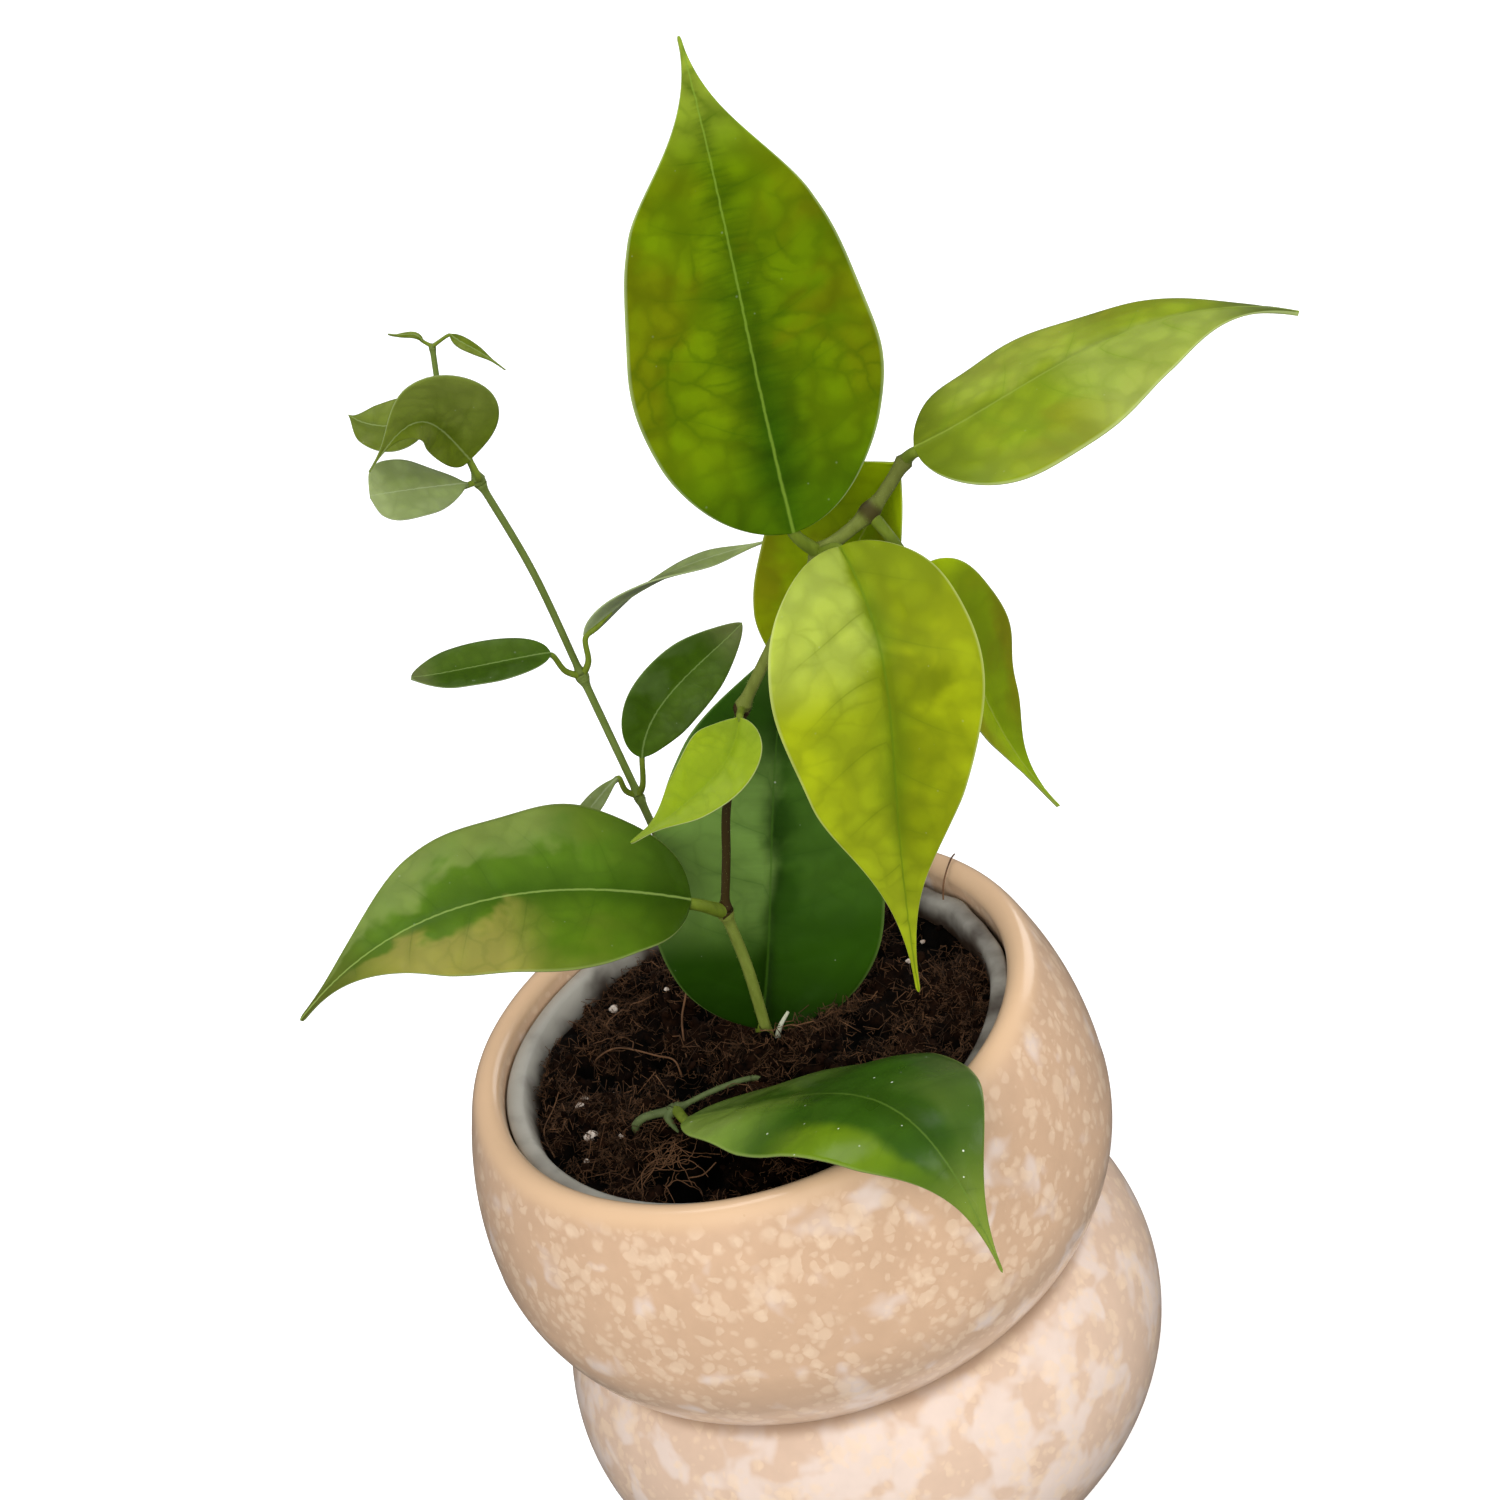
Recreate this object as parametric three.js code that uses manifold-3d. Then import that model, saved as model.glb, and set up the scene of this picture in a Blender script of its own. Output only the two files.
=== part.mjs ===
// Potted Hoya paziae: three vines with opposite, pointed leaves, rooted in a thin nursery pot
// that stands inside a glazed double-bulge cover pot.
// Millimetres, +Z up, origin at the centre of the flat base of the cover pot.
import * as THREE from 'three';
import Module from 'manifold-3d';
import { mergeVertices } from 'three/addons/utils/BufferGeometryUtils.js';

const wasm = await Module();
wasm.setup();

// Clearance between two pieces that touch on the real plant
const GAP = 0.3;
const ROUND_SIDES = 40;
const STEM_SIDES = 7;
const STALK_SIDES = 6;

// Cover pot: two bulges with a crease between them
const POT = {
  wall: 4.6,
  floor: 6,
  baseRadius: 36.4,
  lower: { centreRadius: 20.1, height: 32, arc: 36.4 },
  upper: { centreRadius: 26.8, height: 78.7, arc: 31 },
  shoulder: { centreRadius: -5.3, arc: 63 },
  creaseHeight: 55.8,
  creaseFillet: 1.6,
  creaseDepth: 0.9,
  footEdge: 1,
  neckHeights: [84, 103.5],
  innerHeights: [99, 90, 78.7, 66, 56, 46, 32, 18, 9],
  innerFoot: { below: 20, thicker: 1.5, bevel: 5 },
  lip: { centreRadius: 48.8, height: 105.6, radius: 2.4, from: 10, to: 180 },
};

// Thin nursery pot with a turned-out lip and drain holes
const LINER = {
  bottom: POT.floor + GAP,
  top: 104,
  wall: 1.2,
  footRadius: 34,
  neckRadius: 43.6,
  neckHeight: 101,
  lipRadius: 45.75,
  lipInner: 42.6,
  drainRadius: 3.5,
  drainRing: 22,
  drainCount: 6,
  drainCut: 6,
  footBevel: { outer: 2, inner: 3.5, height: 2 },
  crumple: 0.5,
};

// Soil surface: a height with low lumps and a hollow where the tall leaf stands
const SOIL = {
  level: 98.8,
  lumps: [
    { height: 0.8, x: 0.21, y: 0.13, turn: 0.6 },
    { height: 0.5, x: -0.34, y: 0.3, turn: 1.9 },
    { height: 0.35, x: 0.52, y: -0.47, turn: 0.4 },
  ],
  hollow: { x: 3, y: 7, depth: 3.6, width: 15, length: 7 },
  rings: 8,
  sides: 36,
  wallGap: 2 * GAP,
  footBevel: { width: 3, height: 4 },
  holeBottom: 82,
  holeDepth: 40,
  footBend: 92,
};

// Knots are the swollen joints that leaves grow from; bare points only bend the vine
const MAIN_VINE = {
  root: [1.9, 2.4],
  knots: {
    low: { at: [2.6, -2, 130.5], size: 1.75 },
    small: { at: [17, -5, 168.5], size: 1.5 },
    fork: { at: [36.5, -8, 191.5], size: 1.8 },
    scar: { at: [46, -6, 194.5], size: 1.7 },
    crown: { at: [54, -4, 200], size: 1.5 },
  },
  runs: [
    { radius: 1.0, points: [[1.9, 2.4, 98], [2, 2.2, 101], [2.8, 0.2, 117], 'low'] },
    { radius: 0.75, points: ['low', [6, -3, 141], [9, -4, 151], 'small'] },
    { radius: 1.0, points: ['small', [24.3, -6, 177.3], 'fork'] },
    { radius: 1.2, points: ['fork', 'scar', 'crown'] },
  ],
};

const BACK_VINE = {
  root: [-4, 29],
  knots: {
    low: { at: [-5.7, 30, 139], size: 1.2 },
    middle: { at: [-7.5, 32, 164.5], size: 1.3 },
    high: { at: [-12, 36, 204], size: 1.3 },
    top: { at: [-12.8, 36, 221], size: 1.0 },
    tip: { at: [-11, 36, 229], size: 0.7 },
  },
  runs: [
    { radius: 0.75, points: [[-4, 29, 98], [-4, 29.1, 101], [-4.3, 29.5, 113], 'low'] },
    { radius: 0.7, points: ['low', 'middle'] },
    { radius: 0.65, points: ['middle', [-9, 34, 186], 'high'] },
    { radius: 0.6, points: ['high', 'top'] },
    { radius: 0.5, points: ['top', 'tip'] },
  ],
};

// A short runner that arches over the soil and roots again
const LOW_VINE = {
  root: [-25, -10.5],
  end: [-1.5, -9.5],
  knots: {
    spur: { at: [-17, -12, 102], size: 1.3 },
  },
  runs: [
    { radius: 0.9, points: [[-25, -10.5, 98], [-24.9, -10.5, 100], [-23, -10.9, 101.7], 'spur'] },
    {
      radius: 0.65,
      points: ['spur', [-10, -11, 102.3], [-3.2, -10, 101.4], [-1.6, -9.5, 100], [-1.5, -9.5, 98]],
    },
  ],
};

// Every blade follows one rule: the midrib passes the four points of rib, face is the way its
// upper side looks, and width, skew, fold, cup, twist and wave shape it across the midrib.
const LEAVES = [
  {
    name: 'leaf_top', vine: MAIN_VINE, knot: 'fork',
    stalk: 1.1, width: 39, skew: -0.03,
    tipHalfWidth: 0.55,
    rib: [[33.5, -10, 197.5], [36, -5.5, 224.5], [38.5, -4, 249], [40.5, 0, 273]],
    face: [0.08, -1, 0.12], fold: 11, cup: 0.01, twist: [5, -6], wave: 0.3,
  },
  {
    name: 'leaf_front', vine: MAIN_VINE, knot: 'fork',
    stalk: 1.1, width: 34, skew: 0.13,
    tipHalfWidth: 0.7,
    rib: [[39.5, -13, 194], [39.5, -25.5, 179], [35, -29.5, 158.5], [28.5, -32.5, 123.5]],
    face: [0.1, -0.7, 0.7], fold: 17, cup: 0.02, twist: [9, -8], wave: 0.3,
  },
  {
    name: 'leaf_right', vine: MAIN_VINE, knot: 'crown',
    stalk: 1, width: 37, skew: 0.06,
    rib: [[55.5, -7, 202.5], [74, -7, 206], [95.5, -6.5, 208.5], [117.5, -10.5, 204]],
    face: [0, -0.1, 1], fold: 1, cup: 0.14, twist: [-2, 8], wave: 0.3,
  },
  {
    name: 'leaf_behind', vine: MAIN_VINE, knot: 'crown',
    stalk: 1, width: 27, skew: 0.12,
    rib: [[53, -0.5, 198], [45, 7.5, 184.5], [33.5, 12, 168.5], [26, 13, 152]],
    face: [-0.15, -0.75, 0.6], fold: 32, cup: 0, twist: [0, 0], wave: 0.2,
  },
  {
    name: 'leaf_hanging', vine: MAIN_VINE, knot: 'scar',
    stalk: 1, width: 20,
    elbow: [49, -11, 188],
    rib: [[50, -8, 182.5], [54, -6, 167], [55.5, -6.5, 151.5], [61.5, -9, 132.5]],
    face: [0.7, -0.7, 0.25], fold: 15, cup: 0, twist: [-3, 14], wave: 0.2,
  },
  {
    name: 'leaf_left', vine: MAIN_VINE, knot: 'low',
    stalk: 1.2, width: 34,
    tipHalfWidth: 0.8,
    rib: [[-2, -7, 138], [-21.5, -6.5, 148], [-44, -8.5, 152.5], [-68, -14, 146]],
    face: [0, -0.4, 0.9], fold: 10, cup: 0.13, twist: [-7, 5], wave: 0.7,
  },
  {
    name: 'leaf_small', vine: MAIN_VINE, knot: 'small',
    stalk: 0.7, width: 12.6, skew: 0.06, size: 'small',
    tipHalfWidth: 0.6,
    rib: [[16, -9.5, 169.5], [11.5, -12, 164], [3.5, -15, 161], [-7, -17.5, 159]],
    face: [0, -0.5, 0.9], fold: 11, cup: 0, twist: [0, 0], wave: 0.1,
  },
  {
    name: 'leaf_tall', root: [1, 6],
    stalk: 1.3, width: 42, skew: -0.04,
    rib: [[1, 6, 99], [11, 11, 123], [21, 16, 149], [32.5, 19, 168.5]],
    face: [0, -0.95, 0.3], fold: 8, cup: 0, twist: [5, -2], wave: 0.3,
  },
  {
    name: 'leaf_resting', vine: LOW_VINE, knot: 'spur',
    stalk: 0.9, width: 36, skew: -0.08,
    tipHalfWidth: 0.5,
    rib: [[-15, -18, 103.5], [8, -37, 113.5], [20.5, -55.5, 116], [25.5, -70, 95.5]],
    face: [0, 0.1, 1], fold: 8, cup: 0.27, twist: [19, -12], wave: 0.2,
  },
  {
    name: 'twig_leaf_low_right', vine: BACK_VINE, knot: 'low',
    stalk: 0.6, width: 12.8, size: 'small',
    elbow: [-4.2, 27.6, 141], outline: { basePower: 0.6, tipPower: 0.75, dripCut: 0.1 },
    rib: [[-2.5, 27, 148], [3.5, 27.5, 156], [12.5, 27.5, 161.5], [22, 28, 166]],
    face: [0, -0.95, 0.3], fold: 10, cup: 0.01, twist: [0, 0], wave: 0.1,
  },
  {
    name: 'twig_leaf_low_left', vine: BACK_VINE, knot: 'low',
    stalk: 0.6, width: 3.6, size: 'small',
    elbow: [-8, 29.6, 140.5], outline: { basePower: 0.9, tipPower: 1.05, dripCut: 0.75 },
    rib: [[-8, 29, 144.5], [-13, 29, 141.5], [-18, 27, 139], [-23.5, 24, 137.5]],
    face: [0, -0.7, 0.7], fold: 12, cup: 0, twist: [0, 0], wave: 0.1,
  },
  {
    name: 'twig_leaf_mid_left', vine: BACK_VINE, knot: 'middle',
    stalk: 0.6, width: 9.6, size: 'small',
    elbow: [-10.2, 31, 166.3], outline: { basePower: 0.55, tipPower: 0.6, dripCut: 0.3 },
    rib: [[-11, 29.5, 172], [-19, 29.5, 173.5], [-28, 28.5, 175.5], [-34.5, 26.5, 178]],
    face: [0, -0.45, 0.9], fold: 12, cup: 0.01, twist: [-4, 1], wave: 0.1,
  },
  {
    name: 'twig_leaf_mid_right', vine: BACK_VINE, knot: 'middle',
    stalk: 0.6, width: 7.5, size: 'small',
    elbow: [-5.2, 31.2, 166.2],
    rib: [[-4.5, 31.5, 172], [7.5, 34.5, 175.5], [20, 35.5, 176], [32, 36.5, 175]],
    face: [0, 0.44, 0.9], fold: 4, cup: 0, twist: [42, -70], wave: 0.1,
  },
  {
    name: 'twig_leaf_high_front', vine: BACK_VINE, knot: 'high',
    stalk: 0.6, width: 12.5, skew: 0.05, size: 'small',
    outline: { basePower: 0.9, tipPower: 0.4, dripCut: 0 }, tipHalfWidth: 0.6,
    rib: [[-14, 35, 204.5], [-18.5, 32, 207], [-23.5, 29, 209.5], [-29, 27, 211.5]],
    face: [-0.2, -0.6, 0.8], fold: 4, cup: 0, twist: [0, 0], wave: 0.2,
  },
  {
    name: 'twig_leaf_high_back', vine: BACK_VINE, knot: 'high',
    stalk: 0.6, width: 14.5, skew: 0.4, size: 'small',
    elbow: [-11.4, 33.2, 205.2], outline: { basePower: 0.45, tipPower: 1.15, dripCut: 0.75 },
    rib: [[-12, 34, 209], [-14.5, 31, 217], [-18.5, 27, 221], [-27, 22, 217.5]],
    face: [0.3, -0.9, 0.2], fold: 14, cup: 0, twist: [0, 10], wave: 0.2,
  },
  {
    name: 'twig_leaf_top_left', vine: BACK_VINE, knot: 'top',
    stalk: 0.5, width: 10, size: 'small',
    rib: [[-16, 38, 218.5], [-21.5, 40, 216.5], [-26.5, 43, 217.5], [-29, 45, 219.5]],
    face: [0, -0.6, 0.8], fold: 6, cup: 0.02, twist: [0, 0], wave: 0.1,
  },
  {
    name: 'tip_leaf_left', vine: BACK_VINE, knot: 'tip',
    stalk: 0.35, width: 1.2, size: 'tiny',
    rib: [[-12.2, 36.2, 230.4], [-13.2, 36.2, 231.8], [-15, 36, 232.5], [-17, 36, 233.5]],
    face: [0, -0.6, 0.8], fold: 5, cup: 0, twist: [0, 0], wave: 0,
  },
  {
    name: 'tip_leaf_right', vine: BACK_VINE, knot: 'tip',
    stalk: 0.35, width: 2.2, size: 'tiny',
    rib: [[-7.5, 35.5, 230], [-6, 35, 228], [-4, 34, 226], [-1, 33, 222]],
    face: [0, -0.6, 0.8], fold: 5, cup: 0, twist: [0, 0], wave: 0,
  },
];

// Leaf outline: width grows as t^basePower and closes as (1-t)^tipPower into a drip tip
const OUTLINE = { basePower: 0.55, tipPower: 1.05, dripCut: 0.75 };
const DRIP_START = 0.65;
const BLADES = {
  large: { thickness: 0.8, rows: 14, columns: 6, waves: 3, tipHalfWidth: 0.4, stalkSteps: 4 },
  small: { thickness: 0.65, rows: 9, columns: 4, waves: 2, tipHalfWidth: 0.33, stalkSteps: 4 },
  tiny: { thickness: 0.6, rows: 5, columns: 2, waves: 1, tipHalfWidth: 0.3, stalkSteps: 3 },
};
// A stalk runs on inside the blade to this share of the midrib
const STALK_END = 0.06;

const COLOURS = {
  glaze: '#e0bd92',
  plastic: '#dcdcd6',
  soil: '#3a2a20',
  mainStem: '#8a9a4e',
  backStem: '#7f8f4c',
  lowStem: '#7e8a68',
  brightLeaf: '#93a62c',
  greenLeaf: '#4c6a24',
  greyLeaf: '#66734a',
};

const YOUNG_LEAVES = ['leaf_top', 'leaf_front', 'leaf_right', 'leaf_small'];

const vec = (p) => new THREE.Vector3(...p);

// A closed geometry as a solid that can be joined and cut
function toSolid(geometry) {
  const shape = geometry.clone();
  shape.deleteAttribute('normal');
  shape.deleteAttribute('uv');
  const merged = mergeVertices(shape, 1e-4);
  const index = merged.index.array;
  const triangles = [];
  for (let i = 0; i < index.length; i += 3) {
    const [a, b, c] = [index[i], index[i + 1], index[i + 2]];
    if (a !== b && b !== c && c !== a) triangles.push(a, b, c);
  }
  return new wasm.Manifold(new wasm.Mesh({
    numProp: 3,
    vertProperties: new Float32Array(merged.attributes.position.array),
    triVerts: new Uint32Array(triangles),
  }));
}

function toGeometry(solid) {
  const mesh = solid.getMesh();
  const geometry = new THREE.BufferGeometry();
  geometry.setAttribute('position', new THREE.BufferAttribute(mesh.vertProperties, 3));
  geometry.setIndex(new THREE.BufferAttribute(mesh.triVerts, 1));
  geometry.computeVertexNormals();
  return geometry;
}

function joined(geometries) {
  return geometries.map(toSolid).reduce((whole, solid) => whole.add(solid));
}

// A round stalk of constant radius along a smooth curve through the points
function tube(points, radius, sides = STEM_SIDES, steps = 2 * points.length) {
  const circle = new THREE.Shape();
  for (let i = 0; i < sides; i += 1) {
    const angle = (2 * Math.PI * i) / sides;
    const corner = [radius * Math.cos(angle), radius * Math.sin(angle)];
    if (i === 0) circle.moveTo(...corner);
    else circle.lineTo(...corner);
  }
  const extrudePath = new THREE.CatmullRomCurve3(points.map(vec));
  return new THREE.ExtrudeGeometry(circle, { steps, extrudePath, bevelEnabled: false });
}

function knotBall(knot) {
  const ball = new THREE.SphereGeometry(knot.size, STEM_SIDES, 5);
  ball.translate(...knot.at);
  return ball;
}

// A vertical cutter for the hole that a stem stands in
function holeCutter([x, y], radius) {
  const cutter = new THREE.CylinderGeometry(radius, radius, SOIL.holeDepth, 12);
  cutter.rotateX(Math.PI / 2);
  cutter.translate(x, y, SOIL.holeBottom + SOIL.holeDepth / 2);
  return cutter;
}

// Revolves a profile of [radius, height] pairs about the Z axis
function revolve(profile, sides) {
  const lathe = new THREE.LatheGeometry(profile.map(([r, z]) => new THREE.Vector2(r, z)), sides);
  lathe.rotateX(Math.PI / 2);
  return lathe;
}

function arcRadius({ centreRadius, height, arc }, z) {
  return centreRadius + Math.sqrt(arc * arc - (z - height) ** 2);
}

// Outer radius of the cover pot below its lip
function potRadius(z) {
  if (z < POT.creaseHeight) return arcRadius(POT.lower, z);
  if (z < POT.upper.height) return arcRadius(POT.upper, z);
  return arcRadius({ ...POT.shoulder, height: POT.upper.height }, z);
}

// Heights from low to high, with count equal steps
function heights(low, high, count) {
  return Array.from({ length: count + 1 }, (_, i) => low + ((high - low) * i) / count);
}

function coverPot() {
  const { lip, creaseHeight, creaseFillet, creaseDepth, wall, floor, innerFoot } = POT;
  const onWall = (z) => [potRadius(z), z];
  const lowerBulge = heights(POT.footEdge, creaseHeight - creaseFillet, 10).map(onWall);
  const crease = [lowerBulge.at(-1)[0] - creaseDepth, creaseHeight];
  const upperBulge = [
    ...heights(creaseHeight + creaseFillet, POT.upper.height, 5),
    ...heights(...POT.neckHeights, 3),
  ].map(onWall);
  const rim = heights(lip.from, lip.to, 5).map((degrees) => {
    const angle = THREE.MathUtils.degToRad(degrees);
    return [lip.centreRadius + lip.radius * Math.cos(angle), lip.height + lip.radius * Math.sin(angle)];
  });
  const inner = POT.innerHeights
    .map((z) => [potRadius(z) - wall - (z < innerFoot.below ? innerFoot.thicker : 0), z]);
  inner[0][0] = lip.centreRadius - lip.radius;
  return revolve([
    [0, 0], [POT.baseRadius, 0], ...lowerBulge, crease, ...upperBulge, ...rim, ...inner,
    [inner.at(-1)[0] - innerFoot.bevel, floor], [0, floor],
  ], ROUND_SIDES);
}

function linerRadius(z) {
  const share = (z - LINER.bottom) / (LINER.top - LINER.bottom);
  return LINER.footRadius + share * (LINER.neckRadius - LINER.footRadius);
}

// The soft lip is pushed in and out a little where it was handled
function crumpleLip(geometry) {
  const place = geometry.attributes.position;
  for (let i = 0; i < place.count; i += 1) {
    if (place.getZ(i) < LINER.neckHeight + 1) continue;
    const angle = Math.atan2(place.getY(i), place.getX(i));
    const push = LINER.crumple * (Math.sin(5 * angle + 0.7) + 0.6 * Math.sin(9 * angle) - 0.9);
    const radius = Math.hypot(place.getX(i), place.getY(i));
    const scale = radius > 1 ? (radius + push) / radius : 1;
    place.setXY(i, place.getX(i) * scale, place.getY(i) * scale);
  }
  return geometry;
}

function nurseryPot() {
  const { bottom, top, wall, footRadius, neckRadius, neckHeight, lipRadius, lipInner, footBevel } = LINER;
  const underLip = top - wall;
  const wallHeights = heights(bottom + footBevel.height, neckHeight, 3);
  const shell = revolve([
    [0, bottom], [footRadius - footBevel.outer, bottom],
    ...wallHeights.map((z) => [linerRadius(z), z]),
    [neckRadius, underLip], [lipRadius, underLip], [lipRadius, top], [lipInner, top],
    ...wallHeights.toReversed().map((z) => [linerRadius(z) - wall, z]),
    [footRadius - footBevel.inner, bottom + wall], [0, bottom + wall],
  ], ROUND_SIDES);
  let solid = toSolid(crumpleLip(shell));
  for (let i = 0; i < LINER.drainCount; i += 1) {
    const angle = (2 * Math.PI * i) / LINER.drainCount;
    const cutter = new THREE.CylinderGeometry(LINER.drainRadius, LINER.drainRadius, LINER.drainCut, 10);
    cutter.rotateX(Math.PI / 2);
    cutter.translate(LINER.drainRing * Math.cos(angle), LINER.drainRing * Math.sin(angle), bottom);
    solid = solid.subtract(toSolid(cutter));
  }
  return toGeometry(solid);
}

function soilHeight(x, y) {
  const lumps = SOIL.lumps.map((lump) => lump.height * Math.sin(lump.x * x + lump.y * y + lump.turn));
  const { hollow } = SOIL;
  const reach = ((x - hollow.x) / hollow.width) ** 2 + ((y - hollow.y) / hollow.length) ** 2;
  return lumps.reduce((sum, lump) => sum + lump, SOIL.level - hollow.depth * Math.exp(-reach));
}

function soilBody() {
  const { footBevel } = SOIL;
  const low = LINER.bottom + LINER.wall + GAP;
  const inset = LINER.wall + SOIL.wallGap;
  const edge = linerRadius(SOIL.level) - inset;
  const rings = heights(0, 1, SOIL.rings).map((share) => [edge * (1 - share), SOIL.level]);
  const block = revolve([
    [0, low], [linerRadius(low) - inset - footBevel.width, low],
    [linerRadius(low + footBevel.height) - inset, low + footBevel.height], ...rings,
  ], SOIL.sides);
  const place = block.attributes.position;
  for (let i = 0; i < place.count; i += 1) {
    if (place.getZ(i) > SOIL.level - 1) place.setZ(i, soilHeight(place.getX(i), place.getY(i)));
  }
  const holes = [
    holeCutter(MAIN_VINE.root, MAIN_VINE.runs[0].radius + GAP),
    holeCutter(BACK_VINE.root, BACK_VINE.runs[0].radius + GAP),
    holeCutter(LOW_VINE.root, LOW_VINE.runs[0].radius + GAP),
    holeCutter(LOW_VINE.end, LOW_VINE.runs.at(-1).radius + GAP),
    ...LEAVES.filter((leaf) => leaf.root).map((leaf) => holeCutter(leaf.root, leaf.stalk + GAP)),
  ];
  return toGeometry(holes.reduce((solid, hole) => solid.subtract(toSolid(hole)), toSolid(block)));
}

// The buried foot of a stem, straight down in its hole
function foot([x, y], radius) {
  const heightsUp = [SOIL.holeBottom + GAP, SOIL.footBend, SOIL.level];
  return tube(heightsUp.map((z) => [x, y, z]), radius, STEM_SIDES, 2);
}

function vineBody(vine) {
  const pieces = Object.values(vine.knots).map(knotBall);
  for (const run of vine.runs) {
    const points = run.points.map((point) => (typeof point === 'string' ? vine.knots[point].at : point));
    pieces.push(tube(points, run.radius));
  }
  pieces.push(foot(vine.root, vine.runs[0].radius));
  if (vine.end) pieces.push(foot(vine.end, vine.runs.at(-1).radius));
  return toGeometry(joined(pieces));
}

// Share of the full half width at t along the blade, from base 0 to tip 1
function outlineShare({ basePower, tipPower, dripCut }, t) {
  const widest = basePower / (basePower + tipPower);
  const peak = widest ** basePower * (1 - widest) ** tipPower;
  const drip = THREE.MathUtils.smoothstep(t, DRIP_START, 1);
  return ((t ** basePower * (1 - t) ** tipPower) / peak) * (1 - dripCut * drip);
}

// The cubic through the four midrib points, reached at t = 0, 1/3, 2/3 and 1
function ribPoint(rib, t) {
  const third = 1 / 3;
  const weights = [
    (t - third) * (t - 2 * third) * (t - 1) * -4.5,
    t * (t - 2 * third) * (t - 1) * 13.5,
    t * (t - third) * (t - 1) * -13.5,
    t * (t - third) * (t - 2 * third) * 4.5,
  ];
  const point = new THREE.Vector3();
  rib.forEach((corner, i) => point.addScaledVector(vec(corner), weights[i]));
  return point;
}

// The midrib point, the way across the blade and the way out of its upper face at t
function ribFrame(leaf, t) {
  const step = 0.002;
  const along = ribPoint(leaf.rib, t + step).sub(ribPoint(leaf.rib, t - step)).normalize();
  const across = new THREE.Vector3().crossVectors(along, vec(leaf.face)).normalize();
  const out = new THREE.Vector3().crossVectors(across, along);
  const turn = -THREE.MathUtils.degToRad(THREE.MathUtils.lerp(...leaf.twist, t));
  const twist = new THREE.Quaternion().setFromAxisAngle(along, turn);
  return {
    at: ribPoint(leaf.rib, t),
    across: across.applyQuaternion(twist),
    out: out.applyQuaternion(twist),
  };
}

// The middle surface of the blade at t along and v across, v from -1 to 1
function bladePoint(leaf, blade, t, v, frame, lift) {
  const full = leaf.width / 2;
  const fold = THREE.MathUtils.degToRad(leaf.fold);
  const least = THREE.MathUtils.lerp(leaf.stalk, leaf.tipHalfWidth ?? blade.tipHalfWidth, t);
  const share = outlineShare(leaf.outline ?? OUTLINE, t);
  const half = Math.max(full * share, least);
  const side = half * v * (1 + (leaf.skew ?? 0) * Math.sign(v));
  const phase = 2 * Math.PI * (blade.waves * t + (v > 0 ? 0.25 : 0));
  const wave = leaf.wave * Math.sin(phase) * v * v * share;
  const rise = Math.abs(side) * Math.tan(fold) - (leaf.cup * side * side) / full + wave;
  return frame.at.clone()
    .addScaledVector(frame.across, side * Math.cos(fold))
    .addScaledVector(frame.out, rise + lift);
}

// A closed blade: an upper and a lower face of like triangles, with a wall round the edge
function bladeGeometry(leaf) {
  const blade = BLADES[leaf.size ?? 'large'];
  const { rows, columns, thickness } = blade;
  const positions = [];
  for (const lift of [thickness / 2, -thickness / 2]) {
    for (let row = 0; row <= rows; row += 1) {
      const t = (1 - Math.cos((Math.PI * row) / rows)) / 2;
      const frame = ribFrame(leaf, t);
      for (let column = 0; column <= columns; column += 1) {
        const v = (2 * column) / columns - 1;
        positions.push(...bladePoint(leaf, blade, t, v, frame, lift).toArray());
      }
    }
  }
  const layer = (rows + 1) * (columns + 1);
  const corner = (row, column) => row * (columns + 1) + column;
  const index = [];
  const quad = (a, b, c, d) => index.push(a, b, c, a, c, d);
  for (let row = 0; row < rows; row += 1) {
    for (let column = 0; column < columns; column += 1) {
      const a = corner(row, column);
      const b = corner(row, column + 1);
      const c = corner(row + 1, column + 1);
      const d = corner(row + 1, column);
      quad(a, b, c, d);
      index.push(a + layer, c + layer, b + layer, a + layer, d + layer, c + layer);
    }
    quad(corner(row + 1, 0), corner(row + 1, 0) + layer, corner(row, 0) + layer, corner(row, 0));
    const right = corner(row, columns);
    const rightNext = corner(row + 1, columns);
    quad(right, right + layer, rightNext + layer, rightNext);
  }
  for (let column = 0; column < columns; column += 1) {
    const base = corner(0, column);
    quad(base, base + layer, base + 1 + layer, base + 1);
    const tip = corner(rows, column);
    quad(tip + 1, tip + 1 + layer, tip + layer, tip);
  }
  const geometry = new THREE.BufferGeometry();
  geometry.setAttribute('position', new THREE.Float32BufferAttribute(positions, 3));
  geometry.setIndex(index);
  return geometry;
}

// The stalk runs from just off its knot, or from its hole in the soil, into the blade's midrib
function stalkPoints(leaf) {
  const base = ribPoint(leaf.rib, 0);
  const inside = ribPoint(leaf.rib, STALK_END);
  if (leaf.root) {
    const [x, y] = leaf.root;
    return [[x, y, SOIL.holeBottom + GAP], [x, y, SOIL.footBend], base.toArray(), inside.toArray()];
  }
  const knot = leaf.vine.knots[leaf.knot];
  const centre = vec(knot.at);
  const bends = leaf.elbow ? [vec(leaf.elbow), base] : [base];
  const way = bends[0].clone().sub(centre).normalize();
  const start = centre.addScaledVector(way, knot.size + GAP);
  return [start, ...bends, inside].map((point) => point.toArray());
}

function leafBody(leaf) {
  const stalk = tube(stalkPoints(leaf), leaf.stalk, STALK_SIDES, BLADES[leaf.size ?? 'large'].stalkSteps);
  return toGeometry(joined([bladeGeometry(leaf), stalk]));
}

function leafColour(leaf) {
  if (YOUNG_LEAVES.includes(leaf.name)) return COLOURS.brightLeaf;
  return leaf.vine === BACK_VINE ? COLOURS.greyLeaf : COLOURS.greenLeaf;
}

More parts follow.
